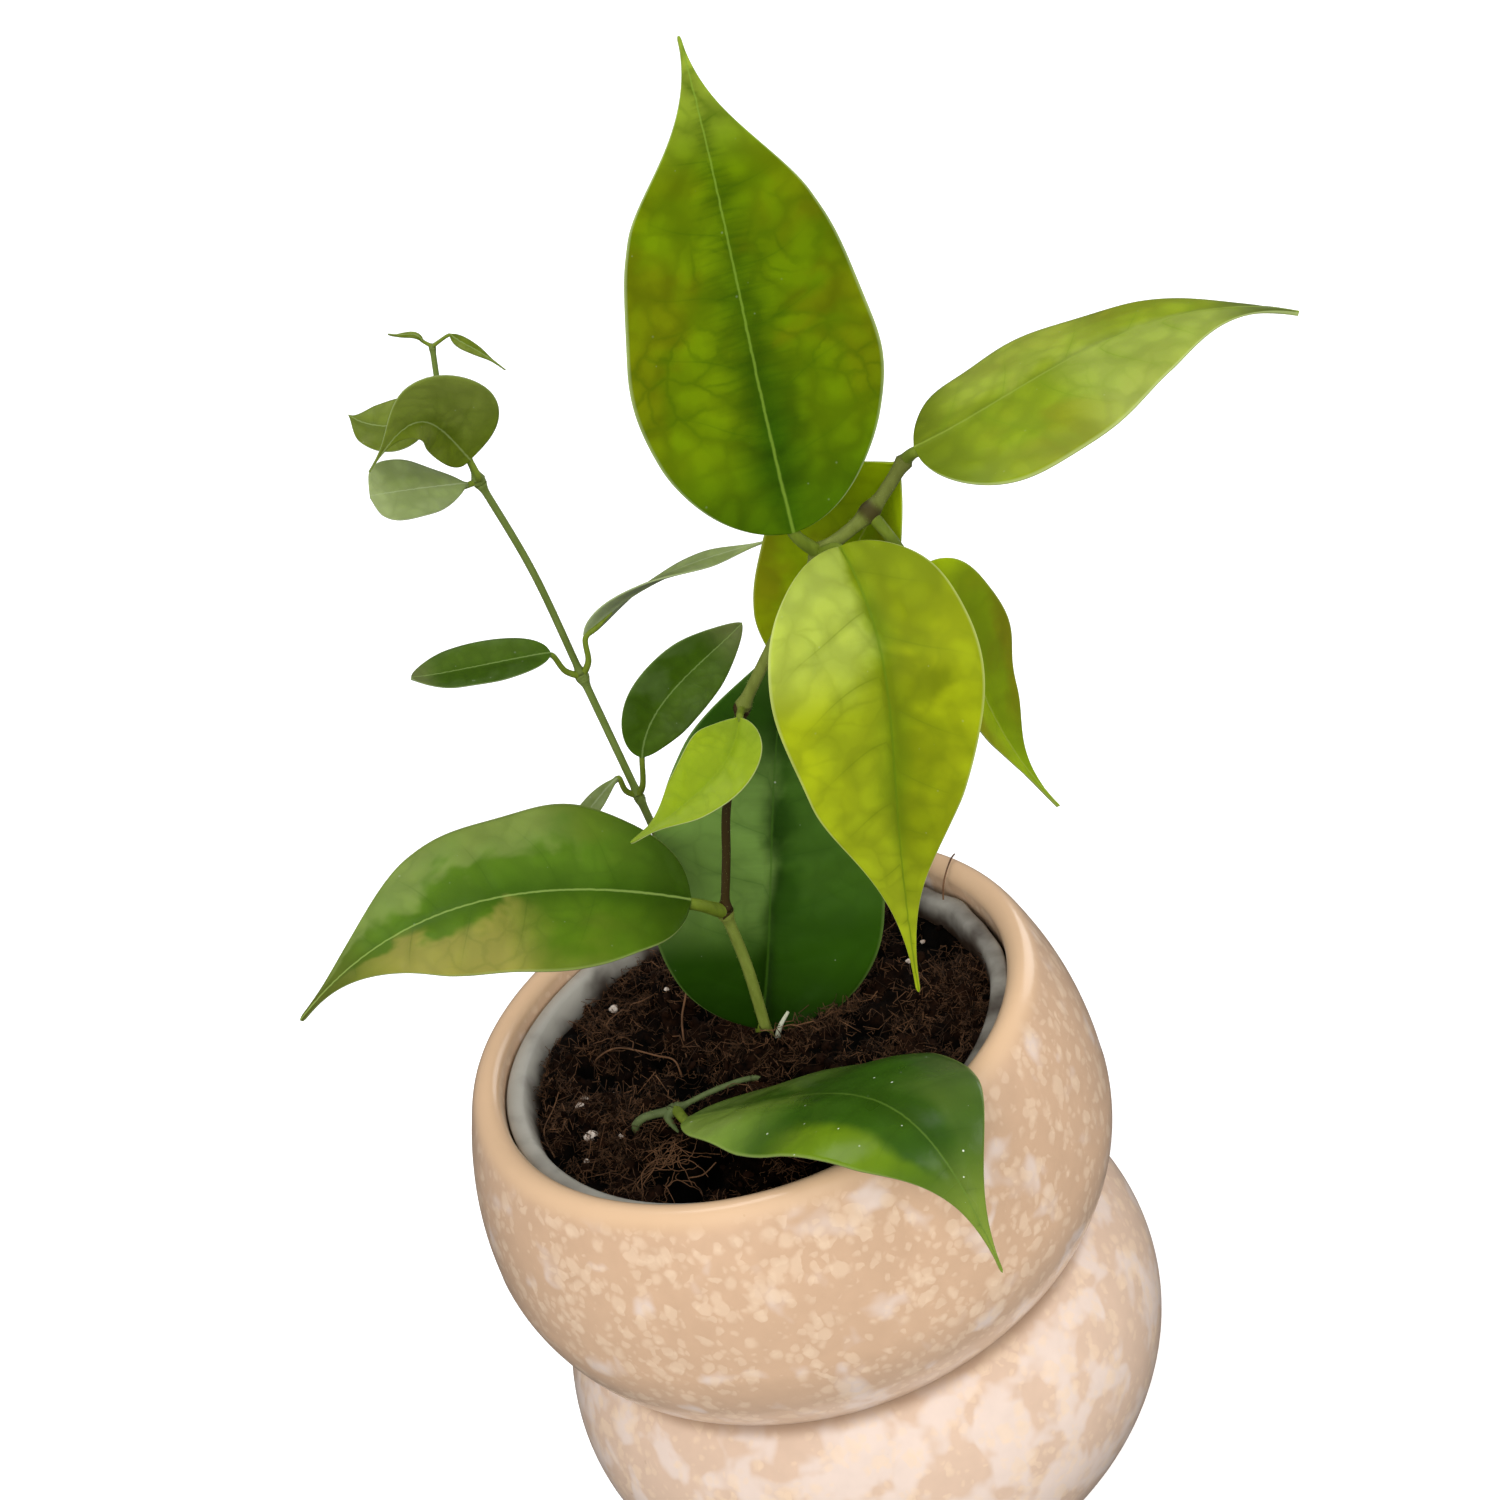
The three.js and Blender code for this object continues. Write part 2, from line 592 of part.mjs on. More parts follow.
function piece(name, geometry, color, roughness) {
  const material = new THREE.MeshStandardMaterial({ color, roughness, metalness: 0 });
  const mesh = new THREE.Mesh(geometry, material);
  mesh.name = name;
  return mesh;
}

const group = new THREE.Group();
group.add(piece('cover_pot', coverPot(), COLOURS.glaze, 0.3));
group.add(piece('nursery_pot', nurseryPot(), COLOURS.plastic, 0.5));
group.add(piece('soil', soilBody(), COLOURS.soil, 0.95));
group.add(piece('vine_main', vineBody(MAIN_VINE), COLOURS.mainStem, 0.6));
group.add(piece('vine_back', vineBody(BACK_VINE), COLOURS.backStem, 0.6));
group.add(piece('vine_low', vineBody(LOW_VINE), COLOURS.lowStem, 0.6));
for (const leaf of LEAVES) group.add(piece(leaf.name, leafBody(leaf), leafColour(leaf), 0.5));

export default group;
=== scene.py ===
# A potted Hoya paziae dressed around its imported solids: thick pointed leaves with their vein relief,
# hairy stems, coir soil with fibres and perlite, a thin nursery pot and a blotched, glazed cover pot.
import math
from functools import partial

import bpy
import numpy as np
from mathutils import Matrix, Vector, noise


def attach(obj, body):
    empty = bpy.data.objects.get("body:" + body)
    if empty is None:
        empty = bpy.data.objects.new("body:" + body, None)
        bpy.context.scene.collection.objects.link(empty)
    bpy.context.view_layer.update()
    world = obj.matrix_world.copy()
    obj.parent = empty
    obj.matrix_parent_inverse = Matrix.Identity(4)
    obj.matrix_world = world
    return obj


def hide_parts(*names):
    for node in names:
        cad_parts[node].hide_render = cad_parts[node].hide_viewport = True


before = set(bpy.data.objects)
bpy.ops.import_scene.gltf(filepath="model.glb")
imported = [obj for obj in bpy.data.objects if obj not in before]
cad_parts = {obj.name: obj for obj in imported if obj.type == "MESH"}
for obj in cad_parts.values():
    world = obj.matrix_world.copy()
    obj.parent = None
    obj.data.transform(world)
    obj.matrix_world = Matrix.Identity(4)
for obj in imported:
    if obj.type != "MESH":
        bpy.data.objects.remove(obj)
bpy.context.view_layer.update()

MM = 0.001
BODY = "root"
SMOOTH = {"interpolation_type": "SMOOTHSTEP"}
RGBA = {"data_type": "RGBA"}

# The photograph's camera, in millimetres, degrees and pixels of its own frame
CAMERA = {
    "place": (15.887, -367.544, 371.161),
    "pitch_down": 30.154,
    "roll": -19.596,
    "focal_px": 2564.56,
    "frame_px": 1500,
    "sensor": 36,
    "clip": (0.01, 100),
}

# Studio: the sky's strength by kind of ray, then lamps by the way they stand from the plant, in metres
SKY = {"light": 0.5, "gloss": 0.08, "seen": 1.0, "below": 1.1}
LAMP_AIM = (0.02, 0, 0.15)
LAMPS = {
    "low_fill": {"kind": "AREA", "way": (1.0, -0.2, 0.2), "distance": 1.2, "size": 0.6, "energy": 4.0,
                 "gloss": False},
    "sun": {"kind": "SUN", "way": (-0.25, -0.8, 0.75), "energy": 1.8, "angle": 50, "gloss": False},
    "front_box": {"kind": "AREA", "way": (-0.35, -1.0, 0.45), "distance": 1.5, "size": 0.8, "energy": 4.2,
                  "gloss": False},
    "back_box": {"kind": "AREA", "way": (0.9, 0.75, 0.2), "distance": 1.3, "size": 0.8, "energy": 3.0,
                 "gloss": True},
    "right_box": {"kind": "AREA", "way": (0.72, -0.29, 0.64), "distance": 1.1, "size": 0.45, "energy": 1.2,
                  "gloss": True},
    "top_box": {"kind": "AREA", "way": (-0.14, 0.15, 0.96), "distance": 1.2, "size": 0.6, "energy": 2.6,
                "gloss": True},
}

# The white floor reaches this many millimetres to each side
FLOOR_REACH = 30000

# Cover pot: two bulges with a crease between them; each bulge is an arc turned about the pot's axis
POT = {
    "wall": 4.6,
    "floor": 6.0,
    "base_radius": 36.4,
    "lower": {"centre": 20.1, "height": 32.0, "arc": 36.4},
    "upper": {"centre": 26.8, "height": 78.7, "arc": 31.0},
    "shoulder": {"centre": -5.3, "height": 78.7, "arc": 63.0},
    "crease": 55.8,
    "crease_start": 54.6,
    "crease_end": 57.0,
    "crease_depth": 0.75,
    "crease_width": 0.7,
    "lower_wall": (2.5, 53.6),
    "upper_start": 58.0,
    "rings": 34,
    "shoulder_top": 101.0,
    "lip": {"centre": 48.8, "height": 105.6, "radius": 2.4},
    "neck": 98,
    "inner_heights": (102, 99, 95, 90, 84, 78.7, 72, 66, 61, 57, 54, 50, 46, 39, 32, 25, 18, 13, 9),
    "foot_height": 20,
    "foot_inset": 1.5,
    "sides": 220,
    "drift": ((0.12, 3, 17), (0.06, 7, -9)),
}

# Glaze colours, and the heights between which it thins over the lip
GLAZE = {"deep": "#c8a381", "tan": "#dab592", "haze": "#eedfd6", "dab": "#edd1b2", "lip": "#dfbb94",
         "pooled_and_shaded": "#98765a", "lip_low": 104.5, "lip_high": 107.2}

# Thin nursery pot with a turned-out, crumpled lip and drain holes
LINER = {
    "bottom": 6.3,
    "top": 104.0,
    "wall": 1.0,
    "foot_radius": 34.0,
    "neck_radius": 43.6,
    "neck_height": 101.0,
    "lip_radius": 46.05,
    "lip_inner": 42.9,
    "drain_radius": 3.5,
    "drain_ring": 22.0,
    "drain_count": 6,
    "drift": 0.12,
    "crumple": {"towards": 24, "width": 20, "depth": 1.9, "from": 94},
    "sides": 200,
}

# Soil: low lumps, a hollow round the tall leaf, a ridge before it and pits where the coir has sunk
SOIL = {
    "level": 98.8,
    "bottom": 8.0,
    "edge_gap": 0.5,
    "lumps": [(0.8, 0.21, 0.13, 0.6), (0.5, -0.34, 0.3, 1.9), (0.35, 0.52, -0.47, 0.4)],
    "dents": [
        {"at": (3, 7), "size": (15, 7), "rise": -3.6},
        {"at": (6, -1.5), "size": (14, 4.5), "rise": 3.4},
        {"at": (-23, 6), "size": (9, 7), "rise": -3.0},
        {"at": (-22, -25), "size": (7, 5), "rise": 2.2},
        {"at": (4, -32), "size": (16, 9), "rise": -3.0},
        {"at": (28, 18), "size": (9, 12), "rise": 1.5},
    ],
    # Spots of painted shadow on the soil, darkened but not lowered; then their size in millimetres and how
    # much darker they get
    "painted_shadows": [(34, 9), (26, 1), (39, 15), (-33, 23), (-22, 9), (-9, -29), (-14, -14), (30, 34)],
    "painted_shadow_size": 7.0,
    "painted_shadow_strength": 0.85,
    "edge_drop": 8,
    "pit_depth": 1.6,
    "rings": 90,
    "sides": 300,
    "clods": [(8.5, 2.8), (3.4, 1.7), (1.4, 0.8), (0.7, 0.3)],
}

# Knots are the swollen joints that leaves grow from; bare points only bend the vine
MAIN_VINE = {
    "stem": "green hoya stem", "slot": "stem_green",
    "knots": {
        "low": ((2.6, -2, 130.5), 1.6),
        "small": ((17, -5, 168.5), 1.5),
        "fork": ((36.5, -8, 191.5), 1.8),
        "scar": ((46, -6, 194.5), 1.7),
        "crown": ((54, -4, 200), 1.5),
    },
    "runs": [
        {"radius": 1.0, "woody": 0.0, "points": [(1.9, 2.4, 92), (2, 2.2, 101), (2.8, 0.2, 117), "low"]},
        {"radius": 0.75, "woody": 1.0, "points": ["low", (6, -3, 141), (9, -4, 151), "small"]},
        {"radius": 1.0, "woody": 0.3, "points": ["small", (24.3, -6, 177.3), "fork"]},
        {"radius": 1.1, "woody": (0.1, 0.5), "points": ["fork", "scar", "crown"]},
    ],
    "scars": ["scar"],
}
BACK_VINE = {
    "stem": "slender hoya stem", "slot": "stem_green",
    "knots": {
        "low": ((-5.7, 30, 139), 1.2),
        "middle": ((-7.5, 32, 164.5), 1.3),
        "high": ((-12, 36, 204), 1.3),
        "top": ((-12.8, 36, 221), 1.0),
        "tip": ((-11, 36, 229), 0.7),
    },
    "runs": [
        {"radius": 0.75, "woody": 0.2, "points": [(-4, 29, 92), (-4, 29.1, 101), (-4.3, 29.5, 113), "low"]},
        {"radius": 0.7, "woody": 0.1, "points": ["low", "middle"]},
        {"radius": 0.65, "woody": 0.25, "points": ["middle", (-9, 34, 186), "high"]},
        {"radius": 0.6, "woody": 0.1, "points": ["high", "top"]},
        {"radius": 0.5, "woody": 0.0, "points": ["top", "tip"]},
    ],
}
LOW_VINE = {
    "stem": "grey-green hoya runner", "slot": "stem_grey",
    "knots": {"spur": ((-17, -12, 102), 1.3)},
    "runs": [
        {"radius": 0.75, "woody": 0.1,
         "points": [(-25, -10.5, 92), (-24.9, -10.5, 100), (-23, -10.9, 101.7), "spur"]},
        {"radius": 0.5, "woody": 0.1,
         "points": ["spur", (-10, -11, 102.3), (-3.2, -10, 101.4), (-1.6, -9.5, 100), (-1.5, -9.5, 92)]},
    ],
}
VINES = {"vine_main": MAIN_VINE, "vine_back": BACK_VINE, "vine_low": LOW_VINE}
KNOT_BROWN, SCAR_BROWN, STALK_BROWN = 0.25, 0.9, 0.15
ROUND_END = 1.6

# Loose ends: the runner's bent spur, and a pale root that rises beside the main vine
SPUR = {
    "points": [(-17.4, -12, 102.2), (-18.6, -12.6, 101.6), (-18.3, -13.8, 100.2), (-17.6, -14.6, 98.6)],
    "steps": 16, "girth": (1.1, 0.12),
}
AERIAL_ROOT = {
    "stem": "bleached aerial root", "points": [(2.9, 0.9, 98.5), (4.4, 0.9, 101.6), (6.7, 1.1, 104)],
    "steps": 12, "girth": (0.6, 0.3),
}

# Stem colours: fresh, pale and woody
STEMS = {
    "green hoya stem": ("#5c6a18", "#8f9c48", "#3a2c12"),
    "slender hoya stem": ("#54681a", "#80924a", "#43421c"),
    "grey-green hoya runner": ("#3c4a24", "#677648", "#4a4430"),
    "green leaf stalk": ("#4d6208", "#86982e", "#3f4119"),
    "bleached aerial root": ("#a8ab8c", "#dadbc6", "#8a8468"),
}
HAIRS = {"Density": 1.0 / MM**2, "Length": 0.35 * MM, "Radius": 0.022 * MM, "Seed": 3}

# Every blade follows one rule: the midrib passes the four points of rib, face is the way its upper
# side looks, and width, skew, fold, cup, twist and wave shape it across the midrib. Outline holds the
# powers that the width opens and closes by, and the share that the drip tip takes off it. Tip is the
# least half width at the end, uneven and buckle roughen one leaf more or less than its size does,
# elbow bends the stalk, and sink sets how deep the stalk's end lies in the midrib.
LEAF = dict(
    skew=0, cup=0, twist=(0, 0), wave=0.1, sink=1, outline=(0.55, 1.05, 0.75),
)
LEAVES = {
    "leaf_top": dict(
        knot=("vine_main", "fork"), look="sunlit", width=39, stalk=1.1, skew=-0.03, tip=0.55,
        rib=[(33.5, -10, 197.5), (36, -5.5, 224.5), (38.5, -4, 249), (40.5, 0, 273)],
        face=(0.08, -1, 0.12), fold=11, cup=0.01, twist=(5, -6), wave=0.3,
    ),
    "leaf_front": dict(
        knot=("vine_main", "fork"), sink=1.9, look="lime", width=34, stalk=1.1, skew=0.13, tip=0.7,
        rib=[(39.5, -13, 194), (39.5, -25.5, 179), (35, -29.5, 158.5), (28.5, -32.5, 123.5)],
        face=(0.1, -0.7, 0.7), fold=17, cup=0.02, twist=(9, -8), wave=0.3,
    ),
    "leaf_right": dict(
        knot=("vine_main", "crown"), look="pale", width=37, stalk=1, skew=0.06, uneven=0.02, buckle=0.2,
        rib=[(55.5, -7, 202.5), (74, -7, 206), (95.5, -6.5, 208.5), (117.5, -10.5, 204)],
        face=(0, -0.1, 1), fold=1, cup=0.14, twist=(-2, 8), wave=0.3,
    ),
    "leaf_behind": dict(
        knot=("vine_main", "crown"), look="olive", width=27, stalk=1, skew=0.12,
        rib=[(53, -0.5, 198), (45, 7.5, 184.5), (33.5, 12, 168.5), (26, 13, 152)],
        face=(-0.15, -0.75, 0.6), fold=32, wave=0.2,
    ),
    "leaf_hanging": dict(
        knot=("vine_main", "scar"), elbow=(49, -11, 188), look="olive", width=20, stalk=1,
        rib=[(50, -8, 182.5), (54, -6, 167), (55.5, -6.5, 151.5), (61.5, -9, 132.5)],
        face=(0.7, -0.7, 0.25), fold=15, twist=(-3, 14), wave=0.2,
    ),
    "leaf_left": dict(
        knot=("vine_main", "low"), look="ageing", width=34, stalk=1.2, tip=0.8, uneven=0.12,
        rib=[(-2, -7, 138), (-21.5, -6.5, 148), (-44, -8.5, 152.5), (-68, -14, 146)],
        face=(0, -0.4, 0.9), fold=10, cup=0.13, twist=(-7, 5), wave=0.7,
    ),
    "leaf_small": dict(
        knot=("vine_main", "small"), look="fresh", size="small", width=12.6, stalk=0.7, skew=0.06, tip=0.6,
        rib=[(16, -9.5, 169.5), (11.5, -12, 164), (3.5, -15, 161), (-7, -17.5, 159)],
        face=(0, -0.5, 0.9), fold=11,
    ),
    "leaf_tall": dict(
        root=(1, 6), look="deep", width=42, stalk=1.3, skew=-0.04,
        rib=[(1, 6, 99), (11, 11, 123), (21, 16, 149), (32.5, 19, 168.5)],
        face=(0, -0.95, 0.3), fold=8, twist=(5, -2), wave=0.3,
    ),
    "leaf_resting": dict(
        knot=("vine_low", "spur"), look="glossy", width=36, stalk=0.9, skew=-0.08, tip=0.5,
        rib=[(-15, -18, 103.5), (8, -37, 113.5), (20.5, -55.5, 116), (25.5, -70, 95.5)],
        face=(0, 0.1, 1), fold=8, cup=0.27, twist=(19, -12), wave=0.2,
    ),
    "twig_leaf_low_right": dict(
        knot=("vine_back", "low"), elbow=(-4.2, 27.6, 141), look="twig_dark", size="small", width=12.8,
        stalk=0.6, outline=(0.6, 0.75, 0.1),
        rib=[(-2.5, 27, 148), (3.5, 27.5, 156), (12.5, 27.5, 161.5), (22, 28, 166)],
        face=(0, -0.95, 0.3), fold=10, cup=0.01,
    ),
    "twig_leaf_low_left": dict(
        knot=("vine_back", "low"), elbow=(-8, 29.6, 140.5), look="twig_grey", size="small", width=3.6,
        stalk=0.6, outline=(0.9, 1.05, 0.75),
        rib=[(-8, 29, 144.5), (-13, 29, 141.5), (-18, 27, 139), (-23.5, 24, 137.5)],
        face=(0, -0.7, 0.7), fold=12,
    ),
    "twig_leaf_mid_left": dict(
        knot=("vine_back", "middle"), elbow=(-10.2, 31, 166.3), look="twig_dark", size="small", width=9.6,
        stalk=0.6, outline=(0.55, 0.6, 0.3),
        rib=[(-11, 29.5, 172), (-19, 29.5, 173.5), (-28, 28.5, 175.5), (-34.5, 26.5, 178)],
        face=(0, -0.45, 0.9), fold=12, cup=0.01, twist=(-4, 1),
    ),
    "twig_leaf_mid_right": dict(
        knot=("vine_back", "middle"), elbow=(-5.2, 31.2, 166.2), look="twig_grey", size="small", width=7.5,
        stalk=0.6,
        rib=[(-4.5, 31.5, 172), (7.5, 34.5, 175.5), (20, 35.5, 176), (32, 36.5, 175)],
        face=(0, 0.44, 0.9), fold=4, twist=(42, -70),
    ),
    "twig_leaf_high_front": dict(
        knot=("vine_back", "high"), look="twig_grey", size="small", width=12.5, stalk=0.6, skew=0.05,
        tip=0.6, outline=(0.9, 0.4, 0),
        rib=[(-14, 35, 204.5), (-18.5, 32, 207), (-23.5, 29, 209.5), (-29, 27, 211.5)],
        face=(-0.2, -0.6, 0.8), fold=4, wave=0.2,
    ),
    "twig_leaf_high_back": dict(
        knot=("vine_back", "high"), elbow=(-11.4, 33.2, 205.2), look="twig_olive", size="small",
        width=14.5, stalk=0.6, skew=0.4, outline=(0.45, 1.15, 0.75),
        rib=[(-12, 34, 209), (-14.5, 31, 217), (-18.5, 27, 221), (-27, 22, 217.5)],
        face=(0.3, -0.9, 0.2), fold=14, twist=(0, 10), wave=0.2,
    ),
    "twig_leaf_top_left": dict(
        knot=("vine_back", "top"), look="twig_olive", size="small", width=10, stalk=0.5,
        rib=[(-16, 38, 218.5), (-21.5, 40, 216.5), (-26.5, 43, 217.5), (-29, 45, 219.5)],
        face=(0, -0.6, 0.8), fold=6, cup=0.02,
    ),
    "tip_leaf_left": dict(
        knot=("vine_back", "tip"), look="twig_olive", size="tiny", width=1.2, stalk=0.35,
        rib=[(-12.2, 36.2, 230.4), (-13.2, 36.2, 231.8), (-15, 36, 232.5), (-17, 36, 233.5)],
        face=(0, -0.6, 0.8), fold=5, wave=0,
    ),
    "tip_leaf_right": dict(
        knot=("vine_back", "tip"), look="twig_olive", size="tiny", width=2.2, stalk=0.35,
        rib=[(-7.5, 35.5, 230), (-6, 35, 228), (-4, 34, 226), (-1, 33, 222)],
        face=(0, -0.6, 0.8), fold=5, wave=0,
    ),
}

# Where the drip tip begins, as a share of the blade's length
DRIP_START = 0.65

# The stalk lies in the midrib at these shares of its length, this many stalk radii deep
STALK_JOINT = ((0, 0.5), (0.06, 1.1), (0.16, 0.9))
ROOT_HEIGHTS = (88, 93)
ELBOW_PULL = 0.55

# Grid, thickness and vein sizes by leaf size, in millimetres where they are lengths
BLADES = {
    "large": {"rows": 132, "columns": 52, "thickness": 0.76, "margin": 0.26, "waves": 3, "tip": 0.24,
              "vein_spacing": 10.5, "vein_wander": 2.4, "rib_width": 0.75, "rib_line": 0.42,
              "rib_depth": 0.34, "sunk": 0.07, "uneven": 0.07, "buckle": 1.2},
    "small": {"rows": 64, "columns": 28, "thickness": 0.6, "margin": 0.22, "waves": 2, "tip": 0.2,
              "vein_spacing": 5.5, "vein_wander": 0.9, "rib_width": 0.4, "rib_line": 0.25, "rib_depth": 0.16,
              "sunk": 0.03, "uneven": 0.06, "buckle": 0.4},
    "tiny": {"rows": 20, "columns": 8, "thickness": 0.5, "margin": 0.2, "waves": 1, "tip": 0.15,
             "vein_spacing": 3.0, "vein_wander": 0.2, "rib_width": 0.2, "rib_line": 0.15, "rib_depth": 0.05,
             "sunk": 0.0, "uneven": 0.0, "buckle": 0.0},
}

# Side veins: how they slope and bend, and how far one half's rows are shifted against the other's
VEIN_SLOPE = 0.3
VEIN_BEND = 0.012
VEIN_SHIFT = 0.45

# Leaf colours: heart lies along the midrib, left and right are the two outer halves; cells is the
# contrast of the soft cells between the veins, comb that of the fine stripes beside the midrib.
# Heart_reach is how wide the heart is at base and tip, heart_end how much of it is left at the tip;
# cross, net, stained, rib_seen and specks are shares, and speck_gap the share of places without one.
# A patch is a real faded blotch, or a painted sheen where a half shows a reflection. Each is its
# half, the place it starts at across it, its reach along the blade, its colour, its share and how
# ragged it is.
LOOK = dict(
    heart_reach=(0.3, 0.3), heart_end=0.5, rib_seen=0.6, specks=0.15, speck_gap=0.6, blotches_and_sheens=(),
)
LOOKS = {
    "sunlit": dict(
        heart="#284802", left="#637b03", right="#5d7602", base="#2f4f02", tip="#86982e", vein="#3c5a02",
        rib="#7f9c34", edge="#b4c488", stain="#685f04", under="#8d9c5c", stained=0.42, cross=0.4, net=0.32,
        cells=0.22, comb=0.35, heart_reach=(0.55, 0.22), heart_end=0.15, roughness=0.5, shine=0.04,
        rib_raised=True,
    ),
    "lime": dict(
        heart="#5a7205", left="#768203", right="#8c990f", base="#76870f", tip="#94a118", vein="#637203",
        rib="#5d7806", edge="#c2cc80", stain="#a8b30c", under="#a3b068", stained=0.5, cross=0.5, net=0.18,
        cells=0.15, comb=0.05, heart_reach=(0.26, 0.32), heart_end=0.6, roughness=0.38, shine=0.15,
        rib_raised=False,
        blotches_and_sheens=[
            # painted sheen: the reflection on one half, from the base to the middle
            (1, 0.0, (-0.1, 0.42), "#aebd58", 0.5, 0.6),
        ],
    ),
    "pale": dict(
        heart="#6b7e0a", left="#85971a", right="#7d9111", base="#5b6b01", tip="#363d0f", vein="#6f8a0c",
        rib="#8fa33c", edge="#b4c27e", stain="#7f8410", under="#a0ae6a", stained=0.7, cross=0.4, net=0.15,
        cells=0.14, comb=0.05, heart_reach=(0.22, 0.2), roughness=0.4, shine=0.2, rib_raised=True,
        blotches_and_sheens=[
            (1, -0.2, (0.42, 0.92), "#9aa84e", 0.6, 0.8),
            # painted sheen: pale streaks where this half reflects the light
            (-1, 0.05, (0.15, 0.6), "#aab94e", 0.35, 0.9),
            (1, -1.3, (0.84, 1.2), "#5c6a28", 0.7, 1.2),
        ],
    ),
    "olive": dict(
        heart="#839d03", left="#708503", right="#899e03", base="#a5bc05", tip="#7f990c", vein="#6c8404",
        rib="#93a040", edge="#a9b460", stain="#706408", under="#8c9850", stained=0.6, cross=0.3, net=0.15,
        cells=0.1, comb=0.05, heart_reach=(0.3, 0.2), roughness=0.42, shine=0.1, rib_raised=False,
    ),
    "ageing": dict(
        heart="#345306", left="#4e6c0c", right="#4f6f14", base="#203602", tip="#4f561c", vein="#345206",
        rib="#9cb45c", edge="#8f9c58", stain="#76772a", under="#77885a", stained=0.3, cross=0.3, net=0.15,
        cells=0.09, comb=0.05, heart_reach=(0.5, 0.3), roughness=0.4, shine=0.14, rib_raised=True,
        rib_seen=0.5,
        blotches_and_sheens=[
            (-1, 0.13, (0.42, 0.88), "#93893f", 0.72, 1.6),
            # painted sheen on the upper half; the patch above it is a real tan blotch
            (1, 0.35, (0.3, 0.95), "#80904c", 0.5, 2.0),
        ],
    ),
    "fresh": dict(
        heart="#768e0b", left="#869c1a", right="#82980f", base="#7e9422", tip="#788c27", vein="#6d860b",
        rib="#7f9614", edge="#c2cb8e", stain="#9ca81a", under="#a5b26a", stained=0.1, cross=0.3, net=0.2,
        cells=0.06, comb=0.1, heart_reach=(0.3, 0.2), roughness=0.42, shine=0.2, rib_raised=False,
    ),
    "deep": dict(
        heart="#132c00", left="#244604", right="#284a06", base="#0d2500", tip="#56702e", vein="#224604",
        rib="#3f6416", edge="#6a8440", stain="#2a4e06", under="#5f7648", stained=0.5, cross=0.3, net=0.12,
        cells=0.08, comb=0.1, heart_reach=(0.2, 0.14), heart_end=0.6, roughness=0.38, shine=0.25,
        rib_raised=False, specks=1.0, speck_gap=0.8,
        blotches_and_sheens=[
            # both patches are painted sheen beside the midrib
            (1, 0.06, (0.3, 0.85), "#476c1c", 0.6, 0.8),
            (-1, -0.1, (0.22, 0.66), "#7a9c48", 0.75, 0.5),
        ],
    ),
    "glossy": dict(
        heart="#274306", left="#2f4f0c", right="#31530a", base="#547018", tip="#7b8f34", vein="#274404",
        rib="#5f7c2c", edge="#86994e", stain="#34560c", under="#5f7448", stained=0.4, cross=0.25, net=0.08,
        cells=0.06, comb=0.1, roughness=0.3, shine=0.34, rib_raised=True, rib_seen=0.5, specks=1.8,
        speck_gap=0.25,
        blotches_and_sheens=[
            # painted sheen at the base of both halves and on the far half; the first patch is a brighter
            # green band along the near margin
            (1, 0.45, (0.34, 0.8), "#64800a", 0.95, 0.4),
            (1, -0.1, (-0.05, 0.3), "#84a03c", 0.8, 0.4),
            (-1, 0.2, (0.5, 0.8), "#5c7030", 0.4, 0.6),
            (-1, 0.1, (-0.1, 0.3), "#6c8438", 0.5, 1.2),
        ],
    ),
    "twig_dark": dict(
        heart="#3c5709", left="#354f06", right="#435b14", base="#3f5b0d", tip="#5f6938", vein="#2c4406",
        rib="#7c9250", edge="#8e9e6a", stain="#4f6430", under="#76866a", stained=0.5, cross=0.2, net=0.1,
        cells=0.1, comb=0.0, roughness=0.4, shine=0.22, rib_raised=True,
    ),
    "twig_grey": dict(
        heart="#74814c", left="#7b8a50", right="#738246", base="#75844a", tip="#8a9760", vein="#68763c",
        rib="#98a578", edge="#a6b284", stain="#828e5e", under="#8a9670", stained=0.4, cross=0.2, net=0.1,
        cells=0.1, comb=0.0, roughness=0.5, shine=0.3, rib_raised=True,
    ),
    "twig_olive": dict(
        heart="#4e5f07", left="#58670d", right="#657324", base="#56660d", tip="#5f6d1f", vein="#475705",
        rib="#87965a", edge="#8f9c64", stain="#707a34", under="#7a8858", stained=0.4, cross=0.25, net=0.1,
        cells=0.1, comb=0.0, roughness=0.45, shine=0.22, rib_raised=True,
    ),
}

# Perlite grains that show on the soil: place across the pot and radius
PERLITE = [
    ((-33.3, 5.3), 1.1), ((-33.5, -0.6), 0.8), ((-32.9, -6.3), 1.25), ((-24.2, 26.3), 0.9),
    ((-13.4, 23.1), 0.5), ((-28.3, 7.9), 0.45), ((-27.6, -11.2), 0.5), ((-34.6, -12.8), 0.55),
    ((30.1, 8.4), 0.6), ((33.8, 14.2), 0.5), ((24.0, 30.5), 0.55), ((-8.0, -38.0), 0.5),
]

# Crumbs and two kinds of fibre on the soil, for the inputs of their trees
CRUMBS = {"Density": 0.5 / MM**2, "Smallest": 0.2 * MM, "Largest": 1.3 * MM, "Seed": 5}
FIBRES = {
    "coir_felt": {"Density": 0.75 / MM**2, "Length": 5 * MM, "Curl": 6 * MM, "Radius": 0.06 * MM, "Seed": 3},
    "coir_fibres": {"Density": 0.08 / MM**2, "Length": 13 * MM, "Curl": 9 * MM, "Radius": 0.09 * MM,
                    "Seed": 8},
}

# A loose tuft of dry fibre at the front left
TANGLE = {"at": (-20.8, -24.8), "spread": 1.7, "count": 34, "step": 0.55, "radius": 0.07, "seed": 4}

